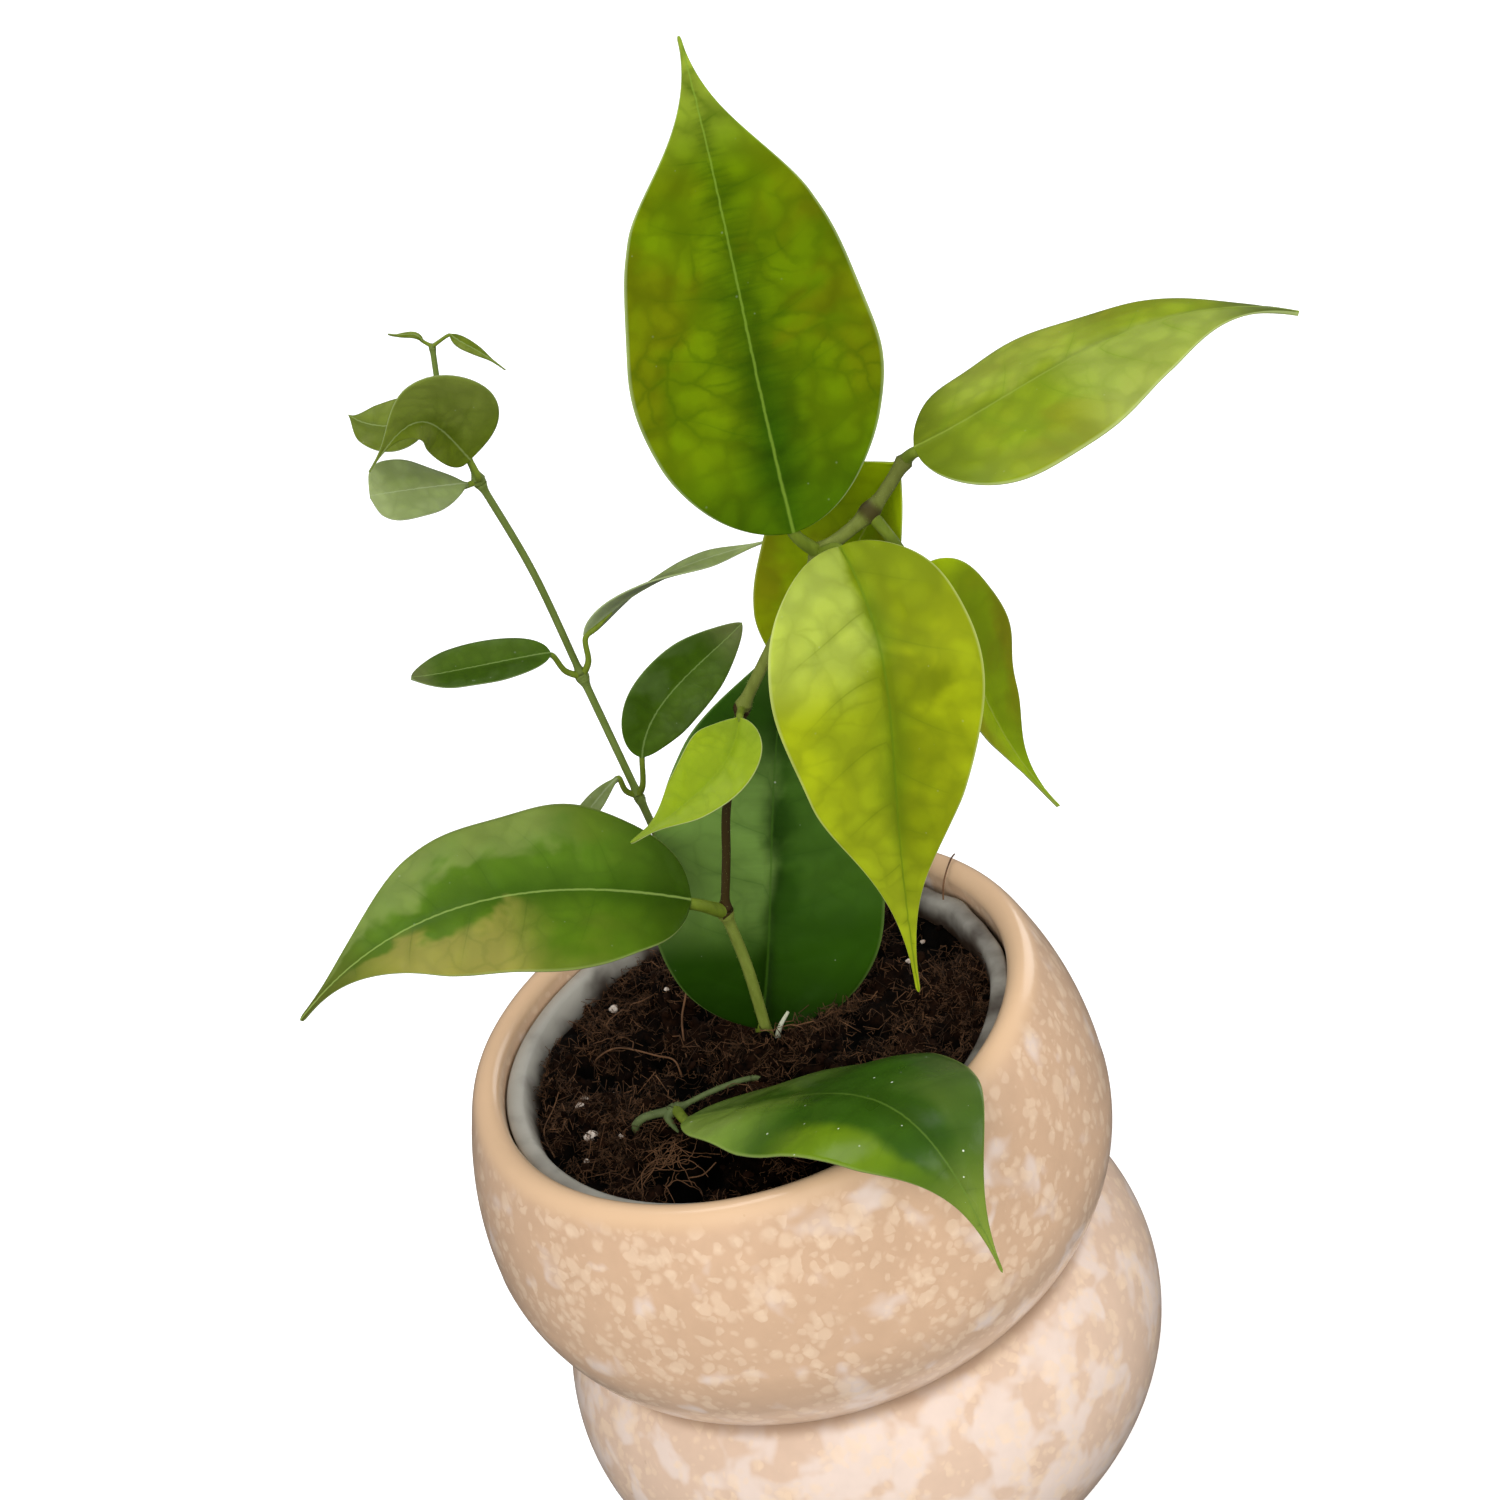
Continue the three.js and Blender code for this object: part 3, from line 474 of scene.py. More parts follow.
# Loose roots and strands: radius, then points across the pot with their height above the soil
STRANDS = {
    "arched": (0.16, [(-30, 13.8, -0.5), (-29.3, 13.5, 1), (-25.2, 12.9, 2.6), (-18.4, 9.5, 3.4),
                      (-15.4, 5.3, 2.6), (-15.3, 4.4, -0.6)]),
    "upright": (0.2, [(-13.8, 7.6, -1), (-12.1, 13.7, 3.6), (-9.7, 16.6, 6.2), (-9.2, 20.5, 8.0)]),
    "over_rim": (0.17, [(44.8, 23.8, 9.2), (43.9, 22.2, 9.9), (42.2, 19.6, 9.9), (40.8, 17.5, 9.0),
                        (39.8, 15.8, 7.0)]),
    "by_wall": (0.13, [(-36, 12, 0), (-38.5, 4.9, 1), (-41, -2, 1.4), (-40, -9, 0)]),
    "front": (0.12, [(-18, -27.5, 0.4), (-15.4, -28.4, 1.6), (-12.6, -28, 2.4)]),
}
STRAND_TONE = 1.3


def linear(colour):
    """An sRGB hex colour as the linear RGBA that a shader takes."""
    channels = [int(colour[i:i + 2], 16) / 255 for i in (1, 3, 5)]
    return (*(c / 12.92 if c <= 0.04045 else ((c + 0.055) / 1.055) ** 2.4 for c in channels), 1.0)


def add_node(tree, kind, inputs=(), **settings):
    """Adds a node; its operation may follow its kind, and a kind without a family is a shader node.

    Inputs go by name, or as a row in the order of the node's own; an input takes a value, a hex
    colour, another node or one of its sockets.
    """
    kind, _, operation = kind.partition(" ")
    made = tree.nodes.new(kind if "Node" in kind else "ShaderNode" + kind)
    for name, value in (settings | ({"operation": operation} if operation else {})).items():
        setattr(made, name, value)
    sockets = [socket for socket in made.inputs if socket.enabled]
    if isinstance(inputs, dict):
        sockets = [next(s for s in sockets if s.name == name) for name in inputs]
        inputs = inputs.values()
    for socket, value in zip(sockets, inputs):
        if isinstance(value, bpy.types.Node):
            value = next(s for s in value.outputs if s.enabled)
        if isinstance(value, bpy.types.NodeSocket):
            tree.links.new(value, socket)
        elif isinstance(value, str) and value.startswith("#"):
            socket.default_value = linear(value)
        else:
            socket.default_value = value
    return made


def new_material(name):
    """An empty material, and the function that adds its nodes."""
    material = bpy.data.materials.new(name)
    material.use_nodes = True
    material.node_tree.nodes.clear()
    return material, partial(add_node, material.node_tree)


def finish_material(add, colour, roughness, height=None, distance=0.1, **constant):
    """Ends a material in one Principled shader; height is a relief of distance millimetres."""
    inputs = {"Base Color": colour, "Roughness": roughness}
    if height is not None:
        inputs["Normal"] = add("Bump", {"Height": height, "Distance": distance * MM, "Strength": 1.0})
    shader = add("BsdfPrincipled", inputs)
    for name, value in constant.items():
        shader.inputs[name.replace("_", " ").title().replace("Ior", "IOR")].default_value = value
    add("OutputMaterial", {"Surface": shader})


def new_object(name, data):
    """A new object in the scene that shows the data."""
    made = bpy.data.objects.new(name, data)
    bpy.context.scene.collection.objects.link(made)
    return made


def new_piece(name, points, faces, materials, numbers=(), edges=()):
    """A mesh object from points in millimetres; numbers holds attributes with a value for each point."""
    mesh = bpy.data.meshes.new(name)
    mesh.from_pydata((np.asarray(points, float) * MM).tolist(), edges, faces)
    for key, values in dict(numbers).items():
        values = np.asarray(values, np.float32)
        kind, field = ("FLOAT_VECTOR", "vector") if values.ndim == 2 else ("FLOAT", "value")
        mesh.attributes.new(key, kind, "POINT").data.foreach_set(field, values.ravel())
    for material in materials:
        mesh.materials.append(material)
    mesh.shade_smooth()
    mesh.update()
    return new_object(name, mesh)


def grown(name, source, tree, values):
    """The result of a Geometry Nodes tree on a source object, as a plain mesh piece."""
    modifier = source.modifiers.new(tree.name, "NODES")
    modifier.node_group = tree
    for item in tree.interface.items_tree:
        if item.in_out == "INPUT" and item.name in values:
            modifier[item.identifier] = values[item.name]
    bpy.context.view_layer.update()
    evaluated = source.evaluated_get(bpy.context.evaluated_depsgraph_get())
    mesh = bpy.data.meshes.new_from_object(evaluated)
    source.modifiers.clear()
    mesh.name = name
    return new_object(name, mesh)


def new_tree(name, inputs):
    """A Geometry Nodes tree: the function that adds its nodes, and its geometry and named inputs."""
    tree = bpy.data.node_groups.new(name, "GeometryNodeTree")
    tree.interface.new_socket("Geometry", in_out="INPUT", socket_type="NodeSocketGeometry")
    for label, kind in inputs.items():
        tree.interface.new_socket(label, in_out="INPUT", socket_type="NodeSocket" + kind)
    tree.interface.new_socket("Geometry", in_out="OUTPUT", socket_type="NodeSocketGeometry")
    add = partial(add_node, tree)
    return add, add("NodeGroupInput").outputs


def end_tree(add, geometry, material):
    """Ends a tree: instances become real, faces are smooth and take the material. Returns the tree."""
    real = add("GeometryNodeRealizeInstances", (geometry,))
    smooth = add("GeometryNodeSetShadeSmooth", {"Geometry": real})
    dressed = add("GeometryNodeSetMaterial", {"Geometry": smooth, "Material": material})
    return add("NodeGroupOutput", (dressed,)).id_data


def clumped_points(add, given):
    """Points on the lit parts of a surface, denser where a soft noise is high."""
    lit = add("GeometryNodeInputNamedAttribute", {"Name": "lit"}, data_type="FLOAT")
    clumps = add("TexNoise", {"Scale": 1 / (8 * MM), "Detail": 1.0})
    clumps = add("MapRange", (clumps, 0.42, 0.6, 0.2))
    density = add("Math MULTIPLY", (lit, given["Density"]))
    density = add("Math MULTIPLY", (density, clumps))
    return add("GeometryNodeDistributePointsOnFaces",
               {"Mesh": given["Geometry"], "Density": density, "Seed": given["Seed"]})


def toned_and_real(add, instances, tone):
    """Each instance keeps its own tone as an attribute and becomes real geometry."""
    toned = add("GeometryNodeStoreNamedAttribute", {"Geometry": instances, "Name": "tone", "Value": tone},
                data_type="FLOAT", domain="INSTANCE")
    return add("GeometryNodeRealizeInstances", (toned,))


def smooth_step(low, high, value):
    """0 below low, 1 above high, eased between."""
    share = np.clip((value - low) / (high - low), 0, 1)
    return share * share * (3 - 2 * share)


def catmull_rom(points, steps):
    """Points evenly along the centripetal Catmull-Rom curve through the given points."""
    p = [np.asarray(point, float) for point in points]
    p = [2 * p[0] - p[1], *p, 2 * p[-1] - p[-2]]
    samples = []
    for a, b, c, d in zip(p, p[1:], p[2:], p[3:]):
        gaps = [max(np.linalg.norm(v - u) ** 0.5, 1e-6) for u, v in ((a, b), (b, c), (c, d))]
        start = ((b - a) / gaps[0] - (c - a) / (gaps[0] + gaps[1]) + (c - b) / gaps[1]) * gaps[1]
        stop = ((c - b) / gaps[1] - (d - b) / (gaps[1] + gaps[2]) + (d - c) / gaps[2]) * gaps[1]
        for u in np.linspace(0, 1, 24, endpoint=False):
            samples.append(b * (2 * u**3 - 3 * u**2 + 1) + start * (u**3 - 2 * u**2 + u)
                           + c * (3 * u**2 - 2 * u**3) + stop * (u**3 - u**2))
    samples = np.array([*samples, p[-2]])
    length = np.concatenate([[0], np.cumsum(np.linalg.norm(np.diff(samples, axis=0), axis=1))])
    even = np.linspace(0, length[-1], steps + 1)
    return np.stack([np.interp(even, length, samples[:, axis]) for axis in range(3)], axis=1), even


def soil_height(x, y):
    """Height of the soil at a place across the pot, without its clods."""
    height = SOIL["level"]
    for rise, along_x, along_y, turn in SOIL["lumps"]:
        height += rise * math.sin(along_x * x + along_y * y + turn)
    for dent in SOIL["dents"]:
        (cx, cy), (width, length) = dent["at"], dent["size"]
        height += dent["rise"] * math.exp(-((x - cx) / width) ** 2 - ((y - cy) / length) ** 2)
    return height


def clod_height(x, y):
    """Rise of the broken coir over the soil's own height; its pits go deeper than its clods rise."""
    rise = sum(rise * noise.noise(Vector((x / size, y / size, size))) for size, rise in SOIL["clods"])
    return rise if rise > 0 else rise * SOIL["pit_depth"]


def pot_radius(z):
    """Outer radius of the cover pot below its lip."""
    above = POT["upper"] if z < POT["upper"]["height"] else POT["shoulder"]
    bulge = POT["lower"] if z < POT["crease"] else above
    return bulge["centre"] + math.sqrt(bulge["arc"] ** 2 - (z - bulge["height"]) ** 2)


def liner_radius(z):
    """Outer radius of the nursery pot's straight wall."""
    share = (z - LINER["bottom"]) / (LINER["top"] - LINER["bottom"])
    return LINER["foot_radius"] + share * (LINER["neck_radius"] - LINER["foot_radius"])


def revolve(profile, sides):
    """Points and faces of a profile of (radius, height) turned about Z, closed where it meets the axis."""
    angles = np.linspace(0, 2 * math.pi, sides, endpoint=False)
    points, rings = [], []
    for radius, z in profile:
        if radius < 1e-6:
            rings.append([len(points)] * sides)
            points.append((0, 0, z))
        else:
            rings.append(list(range(len(points), len(points) + sides)))
            points.extend((radius * math.cos(a), radius * math.sin(a), z) for a in angles)
    faces = []
    for low, high in zip(rings, rings[1:]):
        for i in range(sides):
            j = (i + 1) % sides
            corners = [low[i], low[j], high[j], high[i]]
            faces.append([c for k, c in enumerate(corners) if c != corners[k - 1]])
    return points, faces


# Tin-opacified stoneware glaze, poured and sponged: warm tan with small soft cream dabs, and hazy
# pinkish blotches that are few above the crease and broad below it, all under a glassy coat.
def glaze_material():
    material, add = new_material("sponged stoneware glaze")
    place = add("TexCoord").outputs["Object"]
    height = add("SeparateXYZ", (place,)).outputs["Z"]
    drift = add("TexNoise", (place, 1 / (16 * MM), 3.0))
    bend = add("TexNoise", (place, 1 / (3 * MM), 2.0))
    colour = add("Mix", (drift, GLAZE["deep"], GLAZE["tan"]), **RGBA)
    above = add("MapRange", (height, (POT["crease"] - 6) * MM, (POT["crease"] + 22) * MM), **SMOOTH)
    below_rim = add("MapRange", (height, GLAZE["lip_high"] * MM, GLAZE["lip_low"] * MM))
    # Hazy blotches: soft noise, cut at a level that rises above the crease
    haze = add("TexNoise", {"Vector": place, "Scale": 1 / (8 * MM), "Detail": 2.0, "Roughness": 0.5,
                            "Distortion": 0.3})
    level = add("MapRange", (above, 0, 1, 0.385, 0.54))
    haze = add("Math SUBTRACT", (haze, level))
    haze = add("MapRange", (haze, 0, 0.22, 0, 0.66), **SMOOTH)
    veil = add("MapRange", (above, 0, 1, 0.26, 0.04))
    haze = add("Math MAXIMUM", (haze, veil))
    haze = add("Math MULTIPLY", (haze, below_rim))
    colour = add("Mix", (haze, colour, GLAZE["haze"]), **RGBA)
    # Sponged dabs in clusters: bent cells, of which most hold one rounded dab each, in two sizes
    cluster = add("TexNoise", (place, 1 / (10 * MM), 2.0))
    bent = add("VectorMath MULTIPLY_ADD", (bend.outputs["Color"], (2.2 * MM,) * 3, place))
    for spacing, share in ((2.8, 0.5), (1.6, 0.4)):
        cells = add("TexVoronoi", {"Vector": bent, "Scale": 1 / (spacing * MM), "Smoothness": 0.3},
                    feature="SMOOTH_F1")
        kept = add("SeparateColor", (cells.outputs["Color"],)).outputs["Red"]
        kept = add("Math MULTIPLY_ADD", (cluster, 1.2, kept))
        size = add("MapRange", (kept, 0.85, 1.5, 0.05, 0.75))
        dab = add("Math SUBTRACT", (size, cells.outputs["Distance"]))
        dab = add("MapRange", (dab, 0, 0.36, 0, share), **SMOOTH)
        dab = add("Math MULTIPLY", (dab, below_rim))
        colour = add("Mix", (dab, colour, GLAZE["dab"]), **RGBA)
    speckle = add("MapRange", (bend, 0, 1, 0.94, 1.06))
    colour = add("HueSaturation", {"Value": speckle, "Color": colour})
    lip = add("MapRange", (height, GLAZE["lip_low"] * MM, GLAZE["lip_high"] * MM, 0, 0.7), **SMOOTH)
    colour = add("Mix", (lip, colour, GLAZE["lip"]), **RGBA)
    # Darker in the crease: glaze pooled there, and painted shade where the crease is shaded
    pooled_and_shaded = add("Math SUBTRACT", (height, POT["crease"] * MM))
    pooled_and_shaded = add("Math ABSOLUTE", (pooled_and_shaded,))
    pooled_and_shaded = add("MapRange", (pooled_and_shaded, 0.3 * MM, 2.6 * MM, 0.75, 0.0), **SMOOTH)
    colour = add("Mix", (pooled_and_shaded, colour, GLAZE["pooled_and_shaded"]), **RGBA)
    roughness = add("MapRange", (bend, 0, 1, 0.24, 0.4))
    finish_material(add, colour, roughness, drift, 0.25, ior=1.5, coat_weight=0.5, coat_roughness=0.12)
    return material


# Thin moulded polypropylene, clouded and grey, smeared with soil near the bottom of its inner wall
def plastic_material():
    material, add = new_material("clouded polypropylene")
    place = add("TexCoord").outputs["Object"]
    sideways, _, height = add("SeparateXYZ", (place,)).outputs
    smear = add("TexNoise", (place, 1 / (7 * MM), 3.0, 0.5))
    cloud = add("TexNoise", (place, 1 / (15 * MM), 2.0))
    plain = add("Mix", (cloud, "#8b877e", "#c2beb2"), **RGBA)
    near_soil = add("MapRange", (height, 97 * MM, 103.6 * MM, 0.85, 0.2))
    smear_and_darkening = add("Math ADD", (smear, near_soil))
    # The film also darkens towards +X
    darker_along_x = add("MapRange", (sideways, 0, 30 * MM, 0, 0.32))
    smear_and_darkening = add("Math ADD", (smear_and_darkening, darker_along_x))
    smear_and_darkening = add("MapRange", (smear_and_darkening, 0.6, 1.4), **SMOOTH)
    colour = add("Mix", (smear_and_darkening, plain, "#33261d"), **RGBA)
    roughness = add("MapRange", (smear, 0, 1, 0.3, 0.55))
    finish_material(add, colour, roughness, smear, 0.15, ior=1.49, subsurface_weight=0.2,
                    subsurface_radius=(0.8 * MM,) * 3, subsurface_scale=1.0)
    return material


# Damp coir and peat: rust brown where the fibre has dried, and made nearly black by painted shade in its pits
# and in painted shadows
def coir_material():
    material, add = new_material("damp coir and peat")
    place = add("TexCoord").outputs["Object"]
    grain = add("TexNoise", (place, 1 / (1.4 * MM), 6.0, 0.65))
    patch = add("TexNoise", (place, 1 / (11 * MM), 3.0))
    tone = add("Math MULTIPLY", (grain, patch))
    tone = add("MapRange", (tone, 0.16, 0.42))
    lit = add("Attribute", attribute_name="lit").outputs["Fac"]
    # Painted shade: the tone darkens where the lit attribute is low
    tone = add("Math MULTIPLY", (tone, lit))
    colour = add("Mix", (tone, "#030201", "#2e190c"), **RGBA)
    finish_material(add, colour, 0.92, grain, 0.6, specular_ior_level=0.15)
    return material


# Loose crumbs of the same mix: each one has its own tone, from wet peat to dry husk
def crumb_material():
    material, add = new_material("coir crumb")
    place = add("TexCoord").outputs["Object"]
    grain = add("TexNoise", (place, 1 / (0.5 * MM), 4.0))
    tone = add("Attribute", attribute_name="tone").outputs["Fac"]
    tone = add("Math MULTIPLY", (tone, grain))
    colour = add("Mix", (tone, "#050201", "#2e1a0e"), **RGBA)
    finish_material(add, colour, 0.9, grain, 0.3, specular_ior_level=0.15)
    return material


# Coir fibre: thin dry husk strands, straw brown and a little shiny along their length
def fibre_material():
    material, add = new_material("coir fibre")
    tone = add("Attribute", attribute_name="tone").outputs["Fac"]
    place = add("TexCoord").outputs["Object"]
    grain = add("TexNoise", (place, 1 / (3 * MM), 2.0))
    tone = add("Math MULTIPLY", (tone, grain))
    colour = add("Mix", (tone, "#0c0603", "#7c583c"), **RGBA)
    finish_material(add, colour, 0.6, specular_ior_level=0.3)
    return material


# Expanded perlite: a chalky, pitted white grain that has taken a little brown from the peat
def perlite_material():
    material, add = new_material("expanded perlite")
    place = add("TexCoord").outputs["Object"]
    pits = add("TexNoise", (place, 1 / (0.6 * MM), 4.0))
    stain = add("MapRange", (pits, 0.45, 0.7))
    colour = add("Mix", (stain, "#d8cbbd", "#8a6a56"), **RGBA)
    finish_material(add, colour, 0.85, pits, 0.4, specular_ior_level=0.25)
    return material


# Young hoya stem: pale and downy where green, dark and smooth where it has turned to wood
def stem_material(name):
    green, pale, wood = STEMS[name]
    material, add = new_material(name)
    place = add("TexCoord").outputs["Object"]
    woody = add("Attribute", attribute_name="woody").outputs["Fac"]
    stretch = add("Mapping", {"Vector": place, "Scale": (1.0, 1.0, 0.25)})
    streak = add("TexNoise", (stretch, 1 / (1.2 * MM), 3.0))
    fresh = add("Mix", (streak, green, pale), **RGBA)
    colour = add("Mix", (woody, fresh, wood), **RGBA)
    finish_material(add, colour, 0.55, streak, 0.12, specular_ior_level=0.35)
    return material


# Hairs of the stem: short, white and translucent, seen as a bloom along its edge
def hair_material():
    material, add = new_material("stem hair")
    place = add("TexCoord").outputs["Object"]
    tint = add("TexNoise", (place, 1 / (4 * MM)))
    colour = add("Mix", (tint, "#82903c", "#b9c27c"), **RGBA)
    finish_material(add, colour, 0.6)
    return material


# Hoya leaf: a thick, waxy, smooth blade. A darker heart follows the midrib, soft paler cells of
# tissue lie between thin dark veins, the margin catches the light and the underside is duller.
# Some halves also carry painted sheens, lighter patches that stand for reflections.
def leaf_material(name, look, blade):
    material, add = new_material(name)
    place = add("Attribute", attribute_name="blade_mm").outputs["Vector"]
    shares = add("Attribute", attribute_name="blade_share").outputs["Vector"]
    flat = add("Attribute", attribute_name="blade_flat").outputs["Vector"]
    across, _, upper = add("SeparateXYZ", (place,)).outputs
    side, t, row = add("SeparateXYZ", (shares,)).outputs
    outward = add("Math ABSOLUTE", (side,))
    spacing = blade["vein_spacing"]
    broad = add("TexNoise", (flat, 0.75 / spacing, 3.0))
    fine = add("TexNoise", (flat, 7 / spacing, 2.0))
    # Large colour: halves, heart along the midrib, base and tip
    half = add("MapRange", (side, -0.06, 0.06))
    colour = add("Mix", (half, look["left"], look["right"]), **RGBA)
    reach = add("MapRange", (t, 0, 1, *look["heart_reach"]))
    ragged = add("Math MULTIPLY_ADD", (broad, 0.5, -0.25))
    ragged = add("Math ADD", (outward, ragged))
    fading = add("MapRange", (t, 0.2, 0.95, 1.0, look["heart_end"]))
    heart = add("MapRange", (ragged, reach, -0.1, 0, fading), **SMOOTH)
    colour = add("Mix", (heart, colour, look["heart"]), **RGBA)
    for key, start, stop, most in (("base", 0.25, 0.0, 0.8), ("tip", 0.72, 0.97, 1.0)):
        share = add("MapRange", (t, start, stop, 0, most), **SMOOTH)
        colour = add("Mix", (share, colour, look[key]), **RGBA)
    # Stains gather towards the margin; a patch is one faded part of a half, or a brighter one where a sheen
    # is painted on it
    stained = add("TexNoise", {"Vector": flat, "Scale": 0.9 / spacing, "Detail": 3.0, "Distortion": 0.4})
    stain = add("Math MULTIPLY_ADD", (outward, 0.35, stained))
    stain = add("MapRange", (stain, 0.62, 0.86, 0, look["stained"]), **SMOOTH)
    for start, stop in ((0.12, 0.32), (0.85, 0.62)):
        reached = add("MapRange", (t, start, stop))
        stain = add("Math MULTIPLY", (stain, reached))
    colour = add("Mix", (stain, colour, look["stain"]), **RGBA)
    for half_side, begin, (first, last), tint, most, ragged in look["blotches_and_sheens"]:
        blotch = add("Math MULTIPLY_ADD", (stained, ragged, -ragged / 2))
        inside = add("Math MULTIPLY_ADD", (side, half_side, blotch))
        inside = add("MapRange", (inside, begin, begin + 0.25, 0, most), **SMOOTH)
        for start, stop in ((first - 0.06, first + 0.1), (last + 0.05, last - 0.15)):
            reached = add("MapRange", (t, start, stop), **SMOOTH)
            inside = add("Math MULTIPLY", (inside, reached))
        colour = add("Mix", (inside, colour, tint), **RGBA)
    # Soft cells of tissue, bent so that no border runs straight, and thin veins on some borders
    bent = flat
    for source, bend in ((broad, 1.2 * spacing), (fine, 0.12 * spacing)):
        bent = add("VectorMath MULTIPLY_ADD", (source.outputs["Color"], (bend, bend, 0), bent))
    cell_size = 2.1 / spacing
    cells = add("TexVoronoi", {"Vector": bent, "Scale": cell_size, "Smoothness": 0.6}, feature="SMOOTH_F1",
                voronoi_dimensions="2D")
    pale = add("MapRange", (cells.outputs["Distance"], 0.62, 0.1), **SMOOTH)
    toned = add("SeparateColor", (cells.outputs["Color"],)).outputs["Red"]
    cell_tone = add("Math MULTIPLY_ADD", (toned, 0.8, pale))
    cell_tone = add("MapRange", (cell_tone, 0, 1.5, 1 - look["cells"], 1 + look["cells"]))
    colour = add("HueSaturation", {"Value": cell_tone, "Color": colour})
    border = add("TexVoronoi", {"Vector": bent, "Scale": cell_size}, feature="DISTANCE_TO_EDGE",
                 voronoi_dimensions="2D")
    border = add("MapRange", (border, 0.13, 0.0, 0, look["net"]), **SMOOTH)
    shown = add("MapRange", (broad, 0.42, 0.6))
    border = add("Math MULTIPLY", (border, shown))
    colour = add("Mix", (border, colour, look["vein"]), **RGBA)
    # Cross veins: their rows are numbered along the midrib, one half shifted; each is a soft band
    # with a thin line in it
    shifted = add("Math MULTIPLY_ADD", (half, VEIN_SHIFT, row))
    off_vein = add("Math FRACT", (shifted,))
    off_vein = add("Math SUBTRACT", (off_vein, 0.5))
    off_vein = add("Math ABSOLUTE", (off_vein,))
    for width, strength in ((0.16, 0.6), (0.022, 0.8)):
        fading = add("MapRange", (outward, 0.3, 0.95, look["cross"] * strength, 0.0))
        cross = add("MapRange", (off_vein, width, 0.0, 0, fading), **SMOOTH)
        colour = add("Mix", (cross, colour, look["vein"]), **RGBA)
    # Fine stripes run out from the midrib
    combed = add("VectorMath MULTIPLY", (flat, (0.16, 1.3, 1.0)))
    stripes = add("TexNoise", (combed, 1.0, 2.0))
    stripes = add("MapRange", (stripes, 0.45, 0.65, 0, look["comb"]))
    near_rib = add("MapRange", (outward, 0.42, 0.02))
    stripes = add("Math MULTIPLY", (stripes, near_rib))
    colour = add("Mix", (stripes, colour, look["heart"]), **RGBA)
    # Midrib and margin lines
    off_rib = add("Math MULTIPLY_ADD", (fine, 0.3, across))
    off_rib = add("Math SUBTRACT", (off_rib, 0.15))
    off_rib = add("Math ABSOLUTE", (off_rib,))
    rib_reach = add("MapRange", (t, 0, 1, blade["rib_line"], blade["rib_line"] * 0.4))
    rib = add("MapRange", (off_rib, rib_reach, 0.05, 0, look["rib_seen"]), **SMOOTH)
    colour = add("Mix", (rib, colour, look["rib"]), **RGBA)
    edge = add("MapRange", (outward, 0.97, 0.998, 0, 0.6))
    colour = add("Mix", (edge, colour, look["edge"]), **RGBA)
    # Specks of dust and dried drops
    grit = add("TexVoronoi", {"Vector": flat, "Scale": 0.42})
    kept = add("SeparateColor", (grit.outputs["Color"],)).outputs["Red"]
    size = add("MapRange", (kept, look["speck_gap"], 1, 0, 0.13))
    speck = add("MapRange", (grit.outputs["Distance"], size, 0.0, 0, look["specks"]))
    colour = add("Mix", (speck, colour, "#dfe6d2"), **RGBA)
    below = add("MapRange", (upper, 1.0, 0.0, 0, 0.7))
    colour = add("Mix", (below, colour, look["under"]), **RGBA)
    roughness = add("MapRange", (broad, 0, 1, look["roughness"] - 0.12, look["roughness"] + 0.12))
    relief = add("Math MULTIPLY_ADD", (fine, 0.25, pale))
    relief = add("Math MULTIPLY_ADD", (broad, 7.0, relief))
    finish_material(add, colour, roughness, relief, 0.06, specular_ior_level=look["shine"],
                    subsurface_weight=0.1, subsurface_radius=(0.9 * MM, 1.2 * MM, 0.2 * MM),
                    subsurface_scale=1.0)
    return material


def outline_share(outline, t):
    """Share of the full half width at t along the blade, from base 0 to tip 1."""
    base, tip, drip_cut = outline
    widest = base / (base + tip)
    peak = widest**base * (1 - widest) ** tip
    return t**base * (1 - t) ** tip / peak * (1 - drip_cut * smooth_step(DRIP_START, 1, t))


def rib_point(rib, t):
    """The cubic through the four midrib points, reached at t = 0, 1/3, 2/3 and 1."""
    t = np.asarray(t, float)
    weights = [(t - 1 / 3) * (t - 2 / 3) * (t - 1) * -4.5, t * (t - 2 / 3) * (t - 1) * 13.5,
               t * (t - 1 / 3) * (t - 1) * -13.5, t * (t - 1 / 3) * (t - 2 / 3) * 4.5]
    return sum(np.multiply.outer(w, np.asarray(corner, float)) for w, corner in zip(weights, rib))


def rib_frame(leaf, t):
    """The midrib points, the ways across the blade and the ways out of its upper face at t."""
    step = 0.002
    along = rib_point(leaf["rib"], t + step) - rib_point(leaf["rib"], t - step)
    along /= np.linalg.norm(along, axis=-1, keepdims=True)
    across = np.cross(along, np.asarray(leaf["face"], float))
    across /= np.linalg.norm(across, axis=-1, keepdims=True)
    out = np.cross(across, along)
    turn = np.radians(leaf["twist"][0] + (leaf["twist"][1] - leaf["twist"][0]) * t)[:, None]
    return (rib_point(leaf["rib"], t), across * np.cos(turn) + out * np.sin(turn),
            out * np.cos(turn) - across * np.sin(turn))


